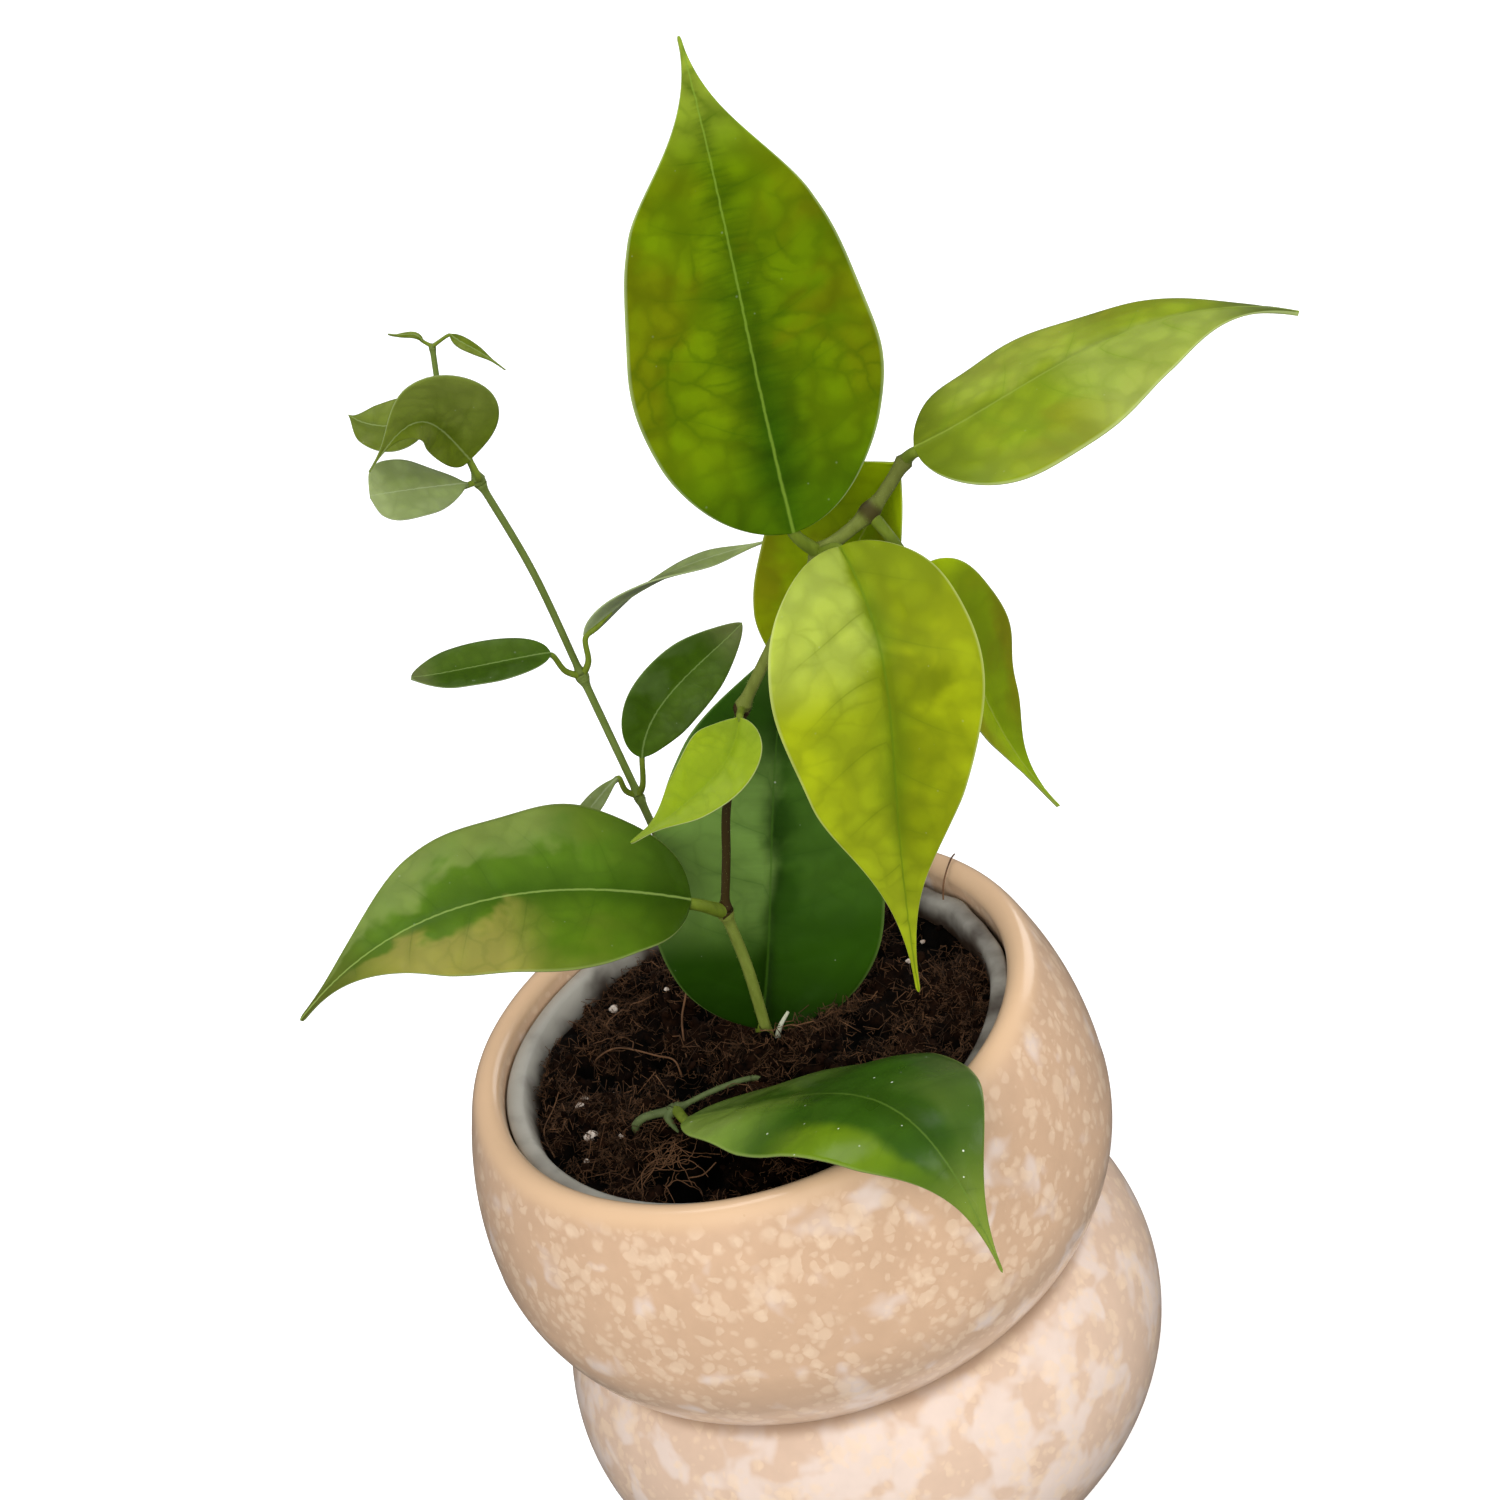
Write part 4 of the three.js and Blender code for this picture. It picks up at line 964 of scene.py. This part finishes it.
def blade_piece(name, leaf, material):
    """The closed blade: an upper and a lower face with vein relief, thin and rounded at the margin."""
    rows, columns = leaf["rows"], leaf["columns"]
    t = (1 - np.cos(np.pi * np.arange(rows + 1) / rows)) / 2
    u = 2 * np.arange(columns + 1) / columns - 1
    v = np.sign(u) * np.abs(u) ** 1.3
    at, across, out = rib_frame(leaf, t)
    length = np.concatenate([[0], np.cumsum(np.linalg.norm(np.diff(at, axis=0), axis=1))])
    share = outline_share(leaf["outline"], t)[:, None]
    full = leaf["width"] / 2
    tip = leaf["tip"]
    least = leaf["stalk"] * 0.8 + (tip - leaf["stalk"] * 0.8) * t[:, None]
    least = least * (1 - 0.45 * smooth_step(0.9, 1, t))[:, None]
    half = ((full * share) ** 5 + least**5) ** 0.2
    from_tip = np.clip((length[-1] - length) / (1.6 * tip), 0, 1)[:, None]
    half = half * np.sqrt(np.clip(1 - (1 - from_tip) ** 2, 0.0025, 1))
    side = half * v * (1 + leaf["skew"] * np.sign(v))
    along = np.broadcast_to(length[:, None], side.shape)
    seed = len(name) * 7.3
    lobes = np.array([[noise.noise(Vector((a / leaf["vein_spacing"] * 0.65, s, seed))) for s in (0.4, 3.7)]
                      for a in length])
    lobes = lobes * (smooth_step(0, 0.15, t) * smooth_step(1, 0.85, t))[:, None]
    side = side * (1 + leaf["uneven"] * np.where(v > 0, lobes[:, 1:], lobes[:, :1]))
    wander = np.array([[noise.noise(Vector((a / 13, s / 13, seed))) for a, s in zip(*pair)]
                       for pair in zip(along, side)])
    phase = 2 * np.pi * (leaf["waves"] * t[:, None] + np.where(v > 0, 0.25, 0))
    wave = leaf["wave"] * np.sin(phase) * v * v * share
    buckle = leaf["buckle"] * wander * smooth_step(0.05, 0.5, np.abs(v)) * share
    rise = np.abs(side) * math.tan(math.radians(leaf["fold"])) - leaf["cup"] * side**2 / full + wave + buckle
    reach = (side * math.cos(math.radians(leaf["fold"])))[..., None]
    middle = at[:, None] + across[:, None] * reach + out[:, None] * rise[..., None]

    row = (along - np.abs(side) * VEIN_SLOPE - side**2 * VEIN_BEND + wander * leaf["vein_wander"])
    row = row / leaf["vein_spacing"]
    off_vein = np.abs((row + VEIN_SHIFT * (v > 0)) % 1 - 0.5) * leaf["vein_spacing"]
    shown = smooth_step(0.02, 0.12, np.abs(v)) * smooth_step(1, 0.8, np.abs(v))
    vein = np.exp(-((off_vein / 0.8) ** 2)) * (shown * smooth_step(1, 0.9, t)[:, None])
    rib = np.exp(-((side / leaf["rib_width"]) ** 2)) * (1 - 0.8 * t[:, None])
    body = leaf["thickness"] / 2 * (1 - np.abs(v) ** 5) + leaf["margin"] / 2 * np.abs(v) ** 5
    rib_side = 0.5 if LOOKS[leaf["look"]]["rib_raised"] else -1.0
    upper = body + leaf["rib_depth"] * rib_side * rib - leaf["sunk"] * vein
    lower = body + leaf["rib_depth"] * 1.4 * rib + leaf["sunk"] * 0.6 * vein

    layers = [middle + out[:, None] * upper[..., None], middle - out[:, None] * lower[..., None]]
    points = np.concatenate([layer.reshape(-1, 3) for layer in layers])
    count = (rows + 1) * (columns + 1)
    corner = np.arange(count).reshape(rows + 1, columns + 1)
    a, b, c, d = (corner[:-1, :-1], corner[:-1, 1:], corner[1:, 1:], corner[1:, :-1])
    faces = [*np.stack([a, b, c, d], -1).reshape(-1, 4), *(np.stack([a, d, c, b], -1).reshape(-1, 4) + count)]
    for line in (corner[::-1, 0], corner[:, -1], corner[0], corner[-1, ::-1]):
        for first, second in zip(line, line[1:]):
            faces.append([first, first + count, second + count, second])
    ones = np.ones(side.size)
    placed = [np.stack([side.ravel(), along.ravel(), ones * is_upper], 1) for is_upper in (1, 0)]
    shares = np.stack([np.broadcast_to(v, side.shape).ravel(), np.repeat(t, columns + 1), row.ravel()], 1)
    flat = np.stack([side.ravel() + seed * 11, along.ravel() + seed * 5, 0 * ones], 1)
    return new_piece(name, points, [[int(i) for i in face] for face in faces], [material],
                     {"blade_mm": np.concatenate(placed), "blade_share": np.concatenate([shares, shares]),
                      "blade_flat": np.concatenate([flat, flat])})


# A stem or strand: a tube along the source's polyline, as thick as its girth attribute says
def tube_tree():
    add, given = new_tree("round stem", {"Sides": "Int", "Material": "Material"})
    path = add("GeometryNodeMeshToCurve", {"Mesh": given["Geometry"]})
    ring = add("GeometryNodeCurvePrimitiveCircle", {"Resolution": given["Sides"], "Radius": 1.0})
    girth = add("GeometryNodeInputNamedAttribute", {"Name": "girth"}, data_type="FLOAT")
    tube = add("GeometryNodeCurveToMesh", {"Curve": path, "Profile Curve": ring, "Scale": girth,
                                           "Fill Caps": True})
    return end_tree(add, tube, given["Material"])


# Lumps on a surface: small icospheres, each turned, squashed and toned at random
def crumb_tree():
    add, given = new_tree("scattered crumbs", {"Density": "Float", "Smallest": "Float", "Largest": "Float",
                                               "Seed": "Int", "Material": "Material"})
    spread = clumped_points(add, given)
    lump = add("GeometryNodeMeshIcoSphere", {"Radius": 1.0, "Subdivisions": 2})
    turn = add("FunctionNodeRandomValue", {"Max": (6.3, 6.3, 6.3), "Seed": 1}, data_type="FLOAT_VECTOR")
    size = add("FunctionNodeRandomValue", {"Min": given["Smallest"], "Max": given["Largest"], "Seed": 2},
               data_type="FLOAT")
    squash = add("FunctionNodeRandomValue", {"Min": (0.6, 0.5, 0.35), "Max": (1.5, 1.0, 0.9), "Seed": 3},
                 data_type="FLOAT_VECTOR")
    scale = add("VectorMath SCALE", (squash, size))
    crumbs = add("GeometryNodeInstanceOnPoints", {"Points": spread, "Instance": lump, "Rotation": turn,
                                                  "Scale": scale})
    tone = add("FunctionNodeRandomValue", {"Seed": 4}, data_type="FLOAT")
    real = toned_and_real(add, crumbs, tone)
    rough = add("TexNoise", {"Scale": 1 / (0.9 * MM), "Detail": 1.0})
    rough = add("VectorMath SUBTRACT", (rough.outputs["Color"], (0.5, 0.5, 0.5)))
    rough = add("VectorMath SCALE", (rough, 1.1 * MM))
    broken = add("GeometryNodeSetPosition", {"Geometry": real, "Offset": rough})
    return end_tree(add, broken, given["Material"])


# Curly fibres lying on a surface: straight lines of random length and heading, bent by noise
def fibre_tree():
    add, given = new_tree("curly fibres", {"Density": "Float", "Length": "Float", "Curl": "Float",
                                           "Radius": "Float", "Seed": "Int", "Material": "Material"})
    spread = clumped_points(add, given)
    line = add("GeometryNodeCurvePrimitiveLine", {"Start": (-0.5, 0, 0), "End": (0.5, 0, 0)})
    line = add("GeometryNodeResampleCurve", {"Curve": line, "Count": 14})
    turn = add("FunctionNodeRandomValue", {"Min": (0.0, -0.45, 0.0), "Max": (0.0, 0.45, 6.3), "Seed": 1},
               data_type="FLOAT_VECTOR")
    stretch = add("FunctionNodeRandomValue", {"Min": 0.35, "Max": 1.6, "Seed": 2}, data_type="FLOAT")
    scale = add("Math MULTIPLY", (stretch, given["Length"]))
    strands = add("GeometryNodeInstanceOnPoints", {"Points": spread, "Instance": line, "Rotation": turn,
                                                   "Scale": scale})
    tone = add("FunctionNodeRandomValue", {"Min": 0.1, "Max": 1.5, "Seed": 4}, data_type="FLOAT")
    real = toned_and_real(add, strands, tone)
    place = add("GeometryNodeInputPosition")
    drift = add("VectorMath SCALE", ((0.37, 0.61, 0.83), tone))
    drift = add("VectorMath ADD", (place, drift))
    bend = add("TexNoise", (drift, 1 / (5 * MM), 1.0))
    bend = add("VectorMath SUBTRACT", (bend.outputs["Color"], (0.5, 0.5, 0.46)))
    bend = add("VectorMath SCALE", (bend, given["Curl"]))
    curled = add("GeometryNodeSetPosition", {"Geometry": real, "Offset": bend})
    ring = add("GeometryNodeCurvePrimitiveCircle", {"Resolution": 3, "Radius": given["Radius"]})
    tube = add("GeometryNodeCurveToMesh", {"Curve": curled, "Profile Curve": ring, "Fill Caps": True})
    return end_tree(add, tube, given["Material"])


# Short hairs standing on a surface, each a three-sided spike
def hair_tree():
    add, given = new_tree("stem hairs", {"Density": "Float", "Length": "Float", "Radius": "Float",
                                         "Seed": "Int", "Material": "Material"})
    spread = add("GeometryNodeDistributePointsOnFaces",
                 {"Mesh": given["Geometry"], "Density": given["Density"], "Seed": given["Seed"]})
    spike = add("GeometryNodeMeshCone", {"Vertices": 3, "Radius Top": 0.0, "Radius Bottom": given["Radius"],
                                         "Depth": given["Length"]})
    tilt = add("FunctionNodeRandomValue", {"Min": (-0.5, -0.5, 0), "Max": (0.5, 0.5, 0), "Seed": 1},
               data_type="FLOAT_VECTOR")
    turn = add("FunctionNodeRotateRotation", {"Rotation": spread.outputs["Rotation"], "Rotate By": tilt},
               rotation_space="LOCAL")
    size = add("FunctionNodeRandomValue", {"Min": 0.5, "Max": 1.3, "Seed": 2}, data_type="FLOAT")
    hairs = add("GeometryNodeInstanceOnPoints", {"Points": spread, "Instance": spike, "Rotation": turn,
                                                 "Scale": size})
    return end_tree(add, hairs, given["Material"])


def tubes(name, paths, material, sides=14):
    """One mesh piece of round tubes; a path is points in mm, their girths in mm and a woody share."""
    edges, first = [], 0
    for points, _, _ in paths:
        edges += [(i, i + 1) for i in range(first, first + len(points) - 1)]
        first += len(points)
    girths = [np.asarray(girth) * MM for _, girth, _ in paths]
    woods = [np.broadcast_to(woody, len(points)) for points, _, woody in paths]
    source = new_piece(name + "_path", np.concatenate([points for points, _, _ in paths]), [], [],
                       {"girth": np.concatenate(girths), "woody": np.concatenate(woods)}, edges)
    made = grown(name, source, TUBE_TREE, {"Sides": sides, "Material": material})
    bpy.data.objects.remove(source)
    return made


def vine_paths(vine):
    """The runs of a vine, each swelling into the knots at its ends and closed round there."""
    paths = []
    for run in vine["runs"]:
        knots = [vine["knots"].get(point) if isinstance(point, str) else None for point in run["points"]]
        path, _ = catmull_rom([knot[0] if knot else point for knot, point in zip(knots, run["points"])], 60)
        # An end at a knot turns back inside itself, so that the tube closes round in the knot
        for end, inner in ((0, 1), (-1, -2)):
            if knots[end]:
                heading = path[inner] - path[end]
                heading = heading / np.linalg.norm(heading)
                tail = path[end] + np.outer(np.linspace(0.25, 1, 5), heading * knots[end][1] * 1.1)
                path = np.concatenate([tail[::-1], path]) if end == 0 else np.concatenate([path, tail])
        girth = np.full(len(path), float(run["radius"]))
        woody = np.linspace(*np.broadcast_to(run["woody"], 2), len(path))
        for knot, point in zip(knots, run["points"]):
            if knot:
                centre, size = knot
                away = np.linalg.norm(path - np.array(centre), axis=1) / size
                girth = np.maximum(girth, run["radius"] + (size - run["radius"]) * np.exp(-(away**2)))
                brown = SCAR_BROWN if point in vine.get("scars", ()) else KNOT_BROWN
                woody = np.maximum(woody, brown * np.exp(-(away**4)))
        travelled = np.concatenate([[0], np.cumsum(np.linalg.norm(np.diff(path, axis=0), axis=1))])
        from_start = travelled if knots[0] else np.inf
        from_end = travelled[-1] - travelled if knots[-1] else np.inf
        closing = np.minimum(np.minimum(from_start, from_end) / ROUND_END, 1)
        girth = girth * np.sqrt(np.clip(1 - (1 - closing) ** 2, 0.01, 1))
        paths.append((path, girth, woody))
    return paths


def stalk_path(leaf):
    """The leaf's stalk, from inside its knot or its hole in the soil to where it ends in the midrib."""
    shares = np.array([share for share, _ in STALK_JOINT])
    _, _, out = rib_frame(leaf, shares)
    joined = [rib_point(leaf["rib"], np.array([share]))[0] - way * depth * leaf["sink"] * leaf["stalk"]
              for (share, depth), way in zip(STALK_JOINT, out)]
    if "root" in leaf:
        points = [*((*leaf["root"], z) for z in ROOT_HEIGHTS), *joined]
    else:
        vine, knot = leaf["knot"]
        points = [VINES[vine]["knots"][knot][0], *joined]
        if "elbow" in leaf:
            middle = (np.array(points[0]) + points[1]) / 2
            points.insert(1, middle + (np.array(leaf["elbow"]) - middle) * ELBOW_PULL)
    path, length = catmull_rom(points, 36)
    share = length / length[-1]
    girth = leaf["stalk"] * (0.86 + 0.2 * np.exp(-((share / 0.25) ** 2)) - 0.6 * smooth_step(0.65, 1, share))
    return path, girth, np.full(len(path), STALK_BROWN)


def dress(piece, node=None):
    """Hangs a piece on the plant's one body and hides the imported part that it stands in for."""
    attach(piece, BODY)
    if node:
        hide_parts(node)
    return piece


def join(pieces):
    """Joins mesh objects into the first one."""
    with bpy.context.temp_override(active_object=pieces[0], selected_editable_objects=pieces):
        bpy.ops.object.join()
    return pieces[0]


def make_camera():
    data = bpy.data.cameras.new("camera")
    data.sensor_width = CAMERA["sensor"]
    data.lens = CAMERA["focal_px"] / CAMERA["frame_px"] * CAMERA["sensor"]
    data.clip_start, data.clip_end = CAMERA["clip"]
    camera = new_object("camera", data)
    turn = (Matrix.Rotation(math.radians(90 - CAMERA["pitch_down"]), 4, "X")
            @ Matrix.Rotation(math.radians(CAMERA["roll"]), 4, "Z"))
    camera.matrix_world = Matrix.Translation(Vector(CAMERA["place"]) * MM) @ turn
    bpy.context.scene.camera = camera


def make_sky():
    """A pale sky: weak in reflections, white to the camera and a little stronger from below."""
    world = bpy.data.worlds.new("studio")
    world.use_nodes = True
    world.node_tree.nodes.clear()
    add = partial(add_node, world.node_tree)
    ray = add("LightPath")
    strength = add("MapRange", (ray.outputs["Is Glossy Ray"], 0, 1, SKY["light"], SKY["gloss"]))
    way = add("TexCoord").outputs["Generated"]
    up = add("SeparateXYZ", (way,)).outputs["Z"]
    lower = add("MapRange", (up, -0.6, 0.3, SKY["below"], 1.0))
    strength = add("Math MULTIPLY", (strength, lower))
    strength = add("Mix", (ray.outputs["Is Camera Ray"], strength, SKY["seen"]))
    sky = add("Background", {"Color": "#fbfcff", "Strength": strength})
    add("OutputWorld", (sky,))
    bpy.context.scene.world = world


def make_lamps():
    """Every lamp shines from its way at the middle of the plant."""
    for name, values in LAMPS.items():
        lamp = bpy.data.lights.new(name, values["kind"])
        lamp.energy = values["energy"]
        way = Vector(values["way"]).normalized()
        made = new_object(name, lamp)
        made.rotation_euler = way.to_track_quat("Z", "Y").to_euler()
        made.visible_glossy = values["gloss"]
        if values["kind"] == "SUN":
            lamp.angle = math.radians(values["angle"])
        else:
            lamp.shape, lamp.size = "DISK", values["size"]
            made.location = way * values["distance"] + Vector(LAMP_AIM)


def make_floor():
    """A white sweep that neither tints the plant nor shows in the glaze."""
    material, add = new_material("white studio floor")
    place = add("TexCoord").outputs["Object"]
    grain = add("TexNoise", (place, 30.0))
    tone = add("Mix", (grain, "#fbfbfb", "#fefefe"), **RGBA)
    finish_material(add, tone, 0.8, specular_ior_level=0.1, emission_color=linear("#ffffff"),
                    emission_strength=0.35)
    corners = [(x * FLOOR_REACH, y * FLOOR_REACH, 0) for x, y in ((-1, -1), (1, -1), (1, 1), (-1, 1))]
    floor = new_piece("floor", corners, [(0, 1, 2, 3)], [material])
    floor.visible_diffuse = False
    floor.visible_glossy = False


def make_cover_pot():
    lip, crease, shoulder_top = POT["lip"], POT["crease"], POT["shoulder_top"]
    profile = [(0, 0), (POT["base_radius"] - 1.2, 0), (POT["base_radius"] - 0.3, 0.12)]
    lower_heights = (0.4, 1.2, *np.linspace(*POT["lower_wall"], POT["rings"]), POT["crease_start"])
    profile += [(pot_radius(z), z) for z in lower_heights]
    groove, half_width = pot_radius(POT["crease_start"]) - POT["crease_depth"], POT["crease_width"] / 2
    profile += [(groove, crease - half_width), (groove, crease + half_width)]
    upper_heights = (POT["crease_end"], *np.linspace(POT["upper_start"], shoulder_top, POT["rings"]))
    profile += [(pot_radius(z), z) for z in upper_heights]
    # The shoulder runs on into the lip along a curve of four control points
    slope = pot_radius(shoulder_top + 0.5) - pot_radius(shoulder_top - 0.5)
    top = lip["height"] + lip["radius"]
    low = np.array([pot_radius(shoulder_top), shoulder_top])
    controls = [low, low + np.array([slope, 1]) * (top - shoulder_top) / 2,
                (lip["centre"] + lip["radius"], top), (lip["centre"], top)]
    for t in np.linspace(0, 1, 12)[1:-1]:
        weights = ((1 - t) ** 3, 3 * t * (1 - t) ** 2, 3 * t**2 * (1 - t), t**3)
        profile.append(tuple(sum(w * np.array(point) for w, point in zip(weights, controls))))
    for angle in np.radians(np.linspace(90, 180, 8)):
        profile.append((lip["centre"] + lip["radius"] * math.cos(angle),
                        lip["height"] + lip["radius"] * math.sin(angle)))
    for z in POT["inner_heights"]:
        radius = lip["centre"] - lip["radius"] if z > POT["neck"] else pot_radius(z) - POT["wall"]
        profile.append((radius - (POT["foot_inset"] if z < POT["foot_height"] else 0), z))
    profile += [(profile[-1][0] - 5, POT["floor"]), (0, POT["floor"])]
    points, faces = revolve(profile, POT["sides"])
    points = np.array(points)
    # Thrown by hand: the wall drifts a little from a true circle
    radius, angle = np.hypot(points[:, 0], points[:, 1]), np.arctan2(points[:, 1], points[:, 0])
    drift = sum(depth * np.sin(count * angle + points[:, 2] / pitch) for depth, count, pitch in POT["drift"])
    scale = np.where(radius > 20, 1 + drift / np.maximum(radius, 1), 1)
    points[:, :2] *= scale[:, None]
    dress(new_piece("cover_pot_glazed", points, faces, [glaze_material()]), "cover_pot")


def make_nursery_pot():
    wall, top, bottom, lip = LINER["wall"], LINER["top"], LINER["bottom"], LINER["lip_radius"]
    under = top - wall
    rising = [*np.linspace(bottom + 2, LINER["neck_height"], 14)]
    profile = [(0, bottom), (LINER["foot_radius"] - 2, bottom)]
    profile += [(liner_radius(z), z) for z in rising]
    profile += [(LINER["neck_radius"], under), (lip - 0.4, under), (lip, under + 0.3), (lip, top - 0.35),
                (lip - 0.4, top), (LINER["lip_inner"] + 0.6, top), (LINER["lip_inner"], top - 0.5)]
    profile += [(liner_radius(z) - wall, z) for z in reversed(rising)]
    profile += [(LINER["foot_radius"] - 3.2, bottom + wall), (0, bottom + wall)]
    points, faces = revolve(profile, LINER["sides"])
    points = np.array(points)
    # The upper wall is a little out of round, and crumpled at one place
    radius, angle = np.hypot(points[:, 0], points[:, 1]), np.arctan2(points[:, 1], points[:, 0])
    crumple = LINER["crumple"]
    away = (np.degrees(angle) - crumple["towards"]) / crumple["width"]
    folds = 0.6 + 0.3 * np.sin(angle * 13 + 0.3) + 0.1 * np.sin(angle * 31)
    push = LINER["drift"] * np.sin(5 * angle) - crumple["depth"] * np.exp(-(away**2)) * folds
    near_lip = smooth_step(crumple["from"], LINER["neck_height"] + 1, points[:, 2])
    points[:, :2] *= (1 + push * near_lip / np.maximum(radius, 1))[:, None]
    pot = new_piece("nursery_pot_film", points, faces, [plastic_material()])
    drain = LINER["drain_radius"]
    for turn in np.arange(LINER["drain_count"]) * 2 * math.pi / LINER["drain_count"]:
        centre = (LINER["drain_ring"] * math.cos(turn), LINER["drain_ring"] * math.sin(turn), bottom)
        plug_points, plug_faces = revolve([(0, -3), (drain, -3), (drain, 3), (0, 3)], 24)
        plug = new_piece("drain_plug", np.array(plug_points) + centre, plug_faces, [])
        cut = pot.modifiers.new("drain", "BOOLEAN")
        cut.operation, cut.object, cut.solver = "DIFFERENCE", plug, "EXACT"
        with bpy.context.temp_override(object=pot, active_object=pot):
            bpy.ops.object.modifier_apply(modifier=cut.name)
        bpy.data.objects.remove(plug)
    dress(pot, "nursery_pot")


def soil_surface():
    """Points and faces of the soil's closed body, and how open to the light each point is."""
    edge = liner_radius(SOIL["level"]) - LINER["wall"] - SOIL["edge_gap"]
    foot = liner_radius(SOIL["bottom"]) - LINER["wall"] - 3
    profile = [(0, SOIL["bottom"]), (foot, SOIL["bottom"]), (edge - 0.6, SOIL["level"] - SOIL["edge_drop"])]
    profile += [(edge * (1 - i / SOIL["rings"]), SOIL["level"]) for i in range(SOIL["rings"] + 1)]
    points, faces = revolve(profile, SOIL["sides"])
    points = np.array(points)
    raised = np.zeros(len(points))
    for i, (x, y, z) in enumerate(points):
        if z > SOIL["level"] - 1:
            inside = 1 - smooth_step(0.94, 1.0, math.hypot(x, y) / edge)
            raised[i] = clod_height(x, y)
            points[i, 2] = soil_height(x, y) + raised[i] * (0.35 + 0.65 * inside)
    # Painted shade: pits darker than clods, and the painted shadows darker still
    lit = smooth_step(-1.6, 0.5, raised)
    for x, y in SOIL["painted_shadows"]:
        away = np.hypot(points[:, 0] - x, points[:, 1] - y) / SOIL["painted_shadow_size"]
        lit = lit * (1 - SOIL["painted_shadow_strength"] * np.exp(-(away**2)))
    return points, faces, lit


def tangle_paths():
    """The tuft of fibre: short wandering strands from about one place."""
    chance = np.random.default_rng(TANGLE["seed"])
    paths = []
    for _ in range(TANGLE["count"]):
        start = np.array(TANGLE["at"]) + chance.normal(0, TANGLE["spread"], 2)
        headings = chance.uniform(0, 2 * math.pi)
        headings = headings + np.cumsum(chance.normal(0, 0.35, 14) + chance.normal(0, 0.2))
        x = start[0] + np.cumsum(np.cos(headings)) * TANGLE["step"]
        y = start[1] + np.cumsum(np.sin(headings)) * TANGLE["step"]
        lift = 0.7 + chance.uniform(0.4, 2.2) * np.sin(np.linspace(0.2, 2.9, 14))
        z = [soil_height(a, b) + up for a, b, up in zip(x, y, lift)]
        path, _ = catmull_rom(np.stack([x, y, z], 1), 30)
        paths.append((path, np.full(len(path), TANGLE["radius"]), 0))
    return paths


def make_soil():
    """The soil as one closed body with a broken top, then crumbs, fibres and perlite on it."""
    points, faces, lit = soil_surface()
    dress(new_piece("soil_bed", points, faces, [coir_material()], {"lit": lit}), "soil")

    # The broken top alone is what crumbs and fibres lie on
    top_faces = [face for face in faces if min(points[face, 2]) > SOIL["level"] - SOIL["edge_drop"] + 1]
    top = new_piece("soil_top", points, top_faces, [], {"lit": lit})
    crumbs = CRUMBS | {"Material": crumb_material()}
    dress(grown("soil_crumbs", top, crumb_tree(), crumbs))
    fibre, rule = fibre_material(), fibre_tree()
    for name, values in FIBRES.items():
        dress(grown(name, top, rule, values | {"Material": fibre}))
    bpy.data.objects.remove(top)

    paths = []
    for radius, points in STRANDS.values():
        path, _ = catmull_rom([(x, y, soil_height(x, y) + lift) for x, y, lift in points], 30)
        paths.append((path, np.full(len(path), radius), 0))
    strands = tubes("loose_strands", paths + tangle_paths(), fibre, sides=6)
    strands.data.attributes.new("tone", "FLOAT", "POINT").data.foreach_set(
        "value", np.full(len(strands.data.vertices), STRAND_TONE, np.float32))
    dress(strands)
    make_perlite()


def make_perlite():
    ball, faces = revolve([(math.sin(a), -math.cos(a)) for a in np.linspace(0, math.pi, 9)], 12)
    points, all_faces = [], []
    for (x, y), size in PERLITE:
        start = len(points)
        ground = soil_height(x, y) + clod_height(x, y) + size * 0.55
        for bx, by, bz in ball:
            bump = size * (1 + 0.38 * noise.noise(Vector((bx + x, by + y, bz)) * 1.4))
            points.append((x + bx * bump, y + by * bump * 0.85, ground + bz * bump * 0.8))
        all_faces += [[start + i for i in face] for face in faces]
    dress(new_piece("perlite_grains", points, all_faces, [perlite_material()]))


def tapered(end):
    """A path through the points of a loose end, with its girth falling from the first to the last."""
    path, length = catmull_rom(end["points"], end["steps"])
    return path, np.interp(length, [0, length[-1]], end["girth"]), 0.0


def make_vines():
    """Each vine with its hairs; the low one has a spur and the main one a pale root of its own."""
    hair_rule, hairs = hair_tree(), HAIRS | {"Material": hair_material()}
    for name, vine in VINES.items():
        paths = vine_paths(vine)
        if name == "vine_low":
            paths.append(tapered(SPUR))
        if name == "vine_main":
            root = tubes("aerial_root", [tapered(AERIAL_ROOT)], stem_material(AERIAL_ROOT["stem"]))
            dress(root)
        stem = tubes(name + "_stem", paths, stem_material(vine["stem"]))
        dress(stem, name)
        dress(grown(name + "_hairs", stem, hair_rule, hairs))


def make_leaves():
    finishes, stalk_material = {}, stem_material("green leaf stalk")
    for name, given in LEAVES.items():
        size = given.get("size", "large")
        leaf = LEAF | BLADES[size] | given
        key = f"waxy hoya leaf {leaf['look']} {size}"
        if key not in finishes:
            finishes[key] = leaf_material(key, LOOK | LOOKS[leaf["look"]], BLADES[size])
        blade = blade_piece(name + "_blade", leaf, finishes[key])
        stalk = tubes(name + "_stalk", [stalk_path(leaf)], stalk_material, sides=12)
        dress(join([blade, stalk]), name)


bpy.context.scene.view_settings.view_transform = "Standard"
make_camera()
make_sky()
make_lamps()
make_floor()
TUBE_TREE = tube_tree()
make_cover_pot()
make_nursery_pot()
make_soil()
make_vines()
make_leaves()
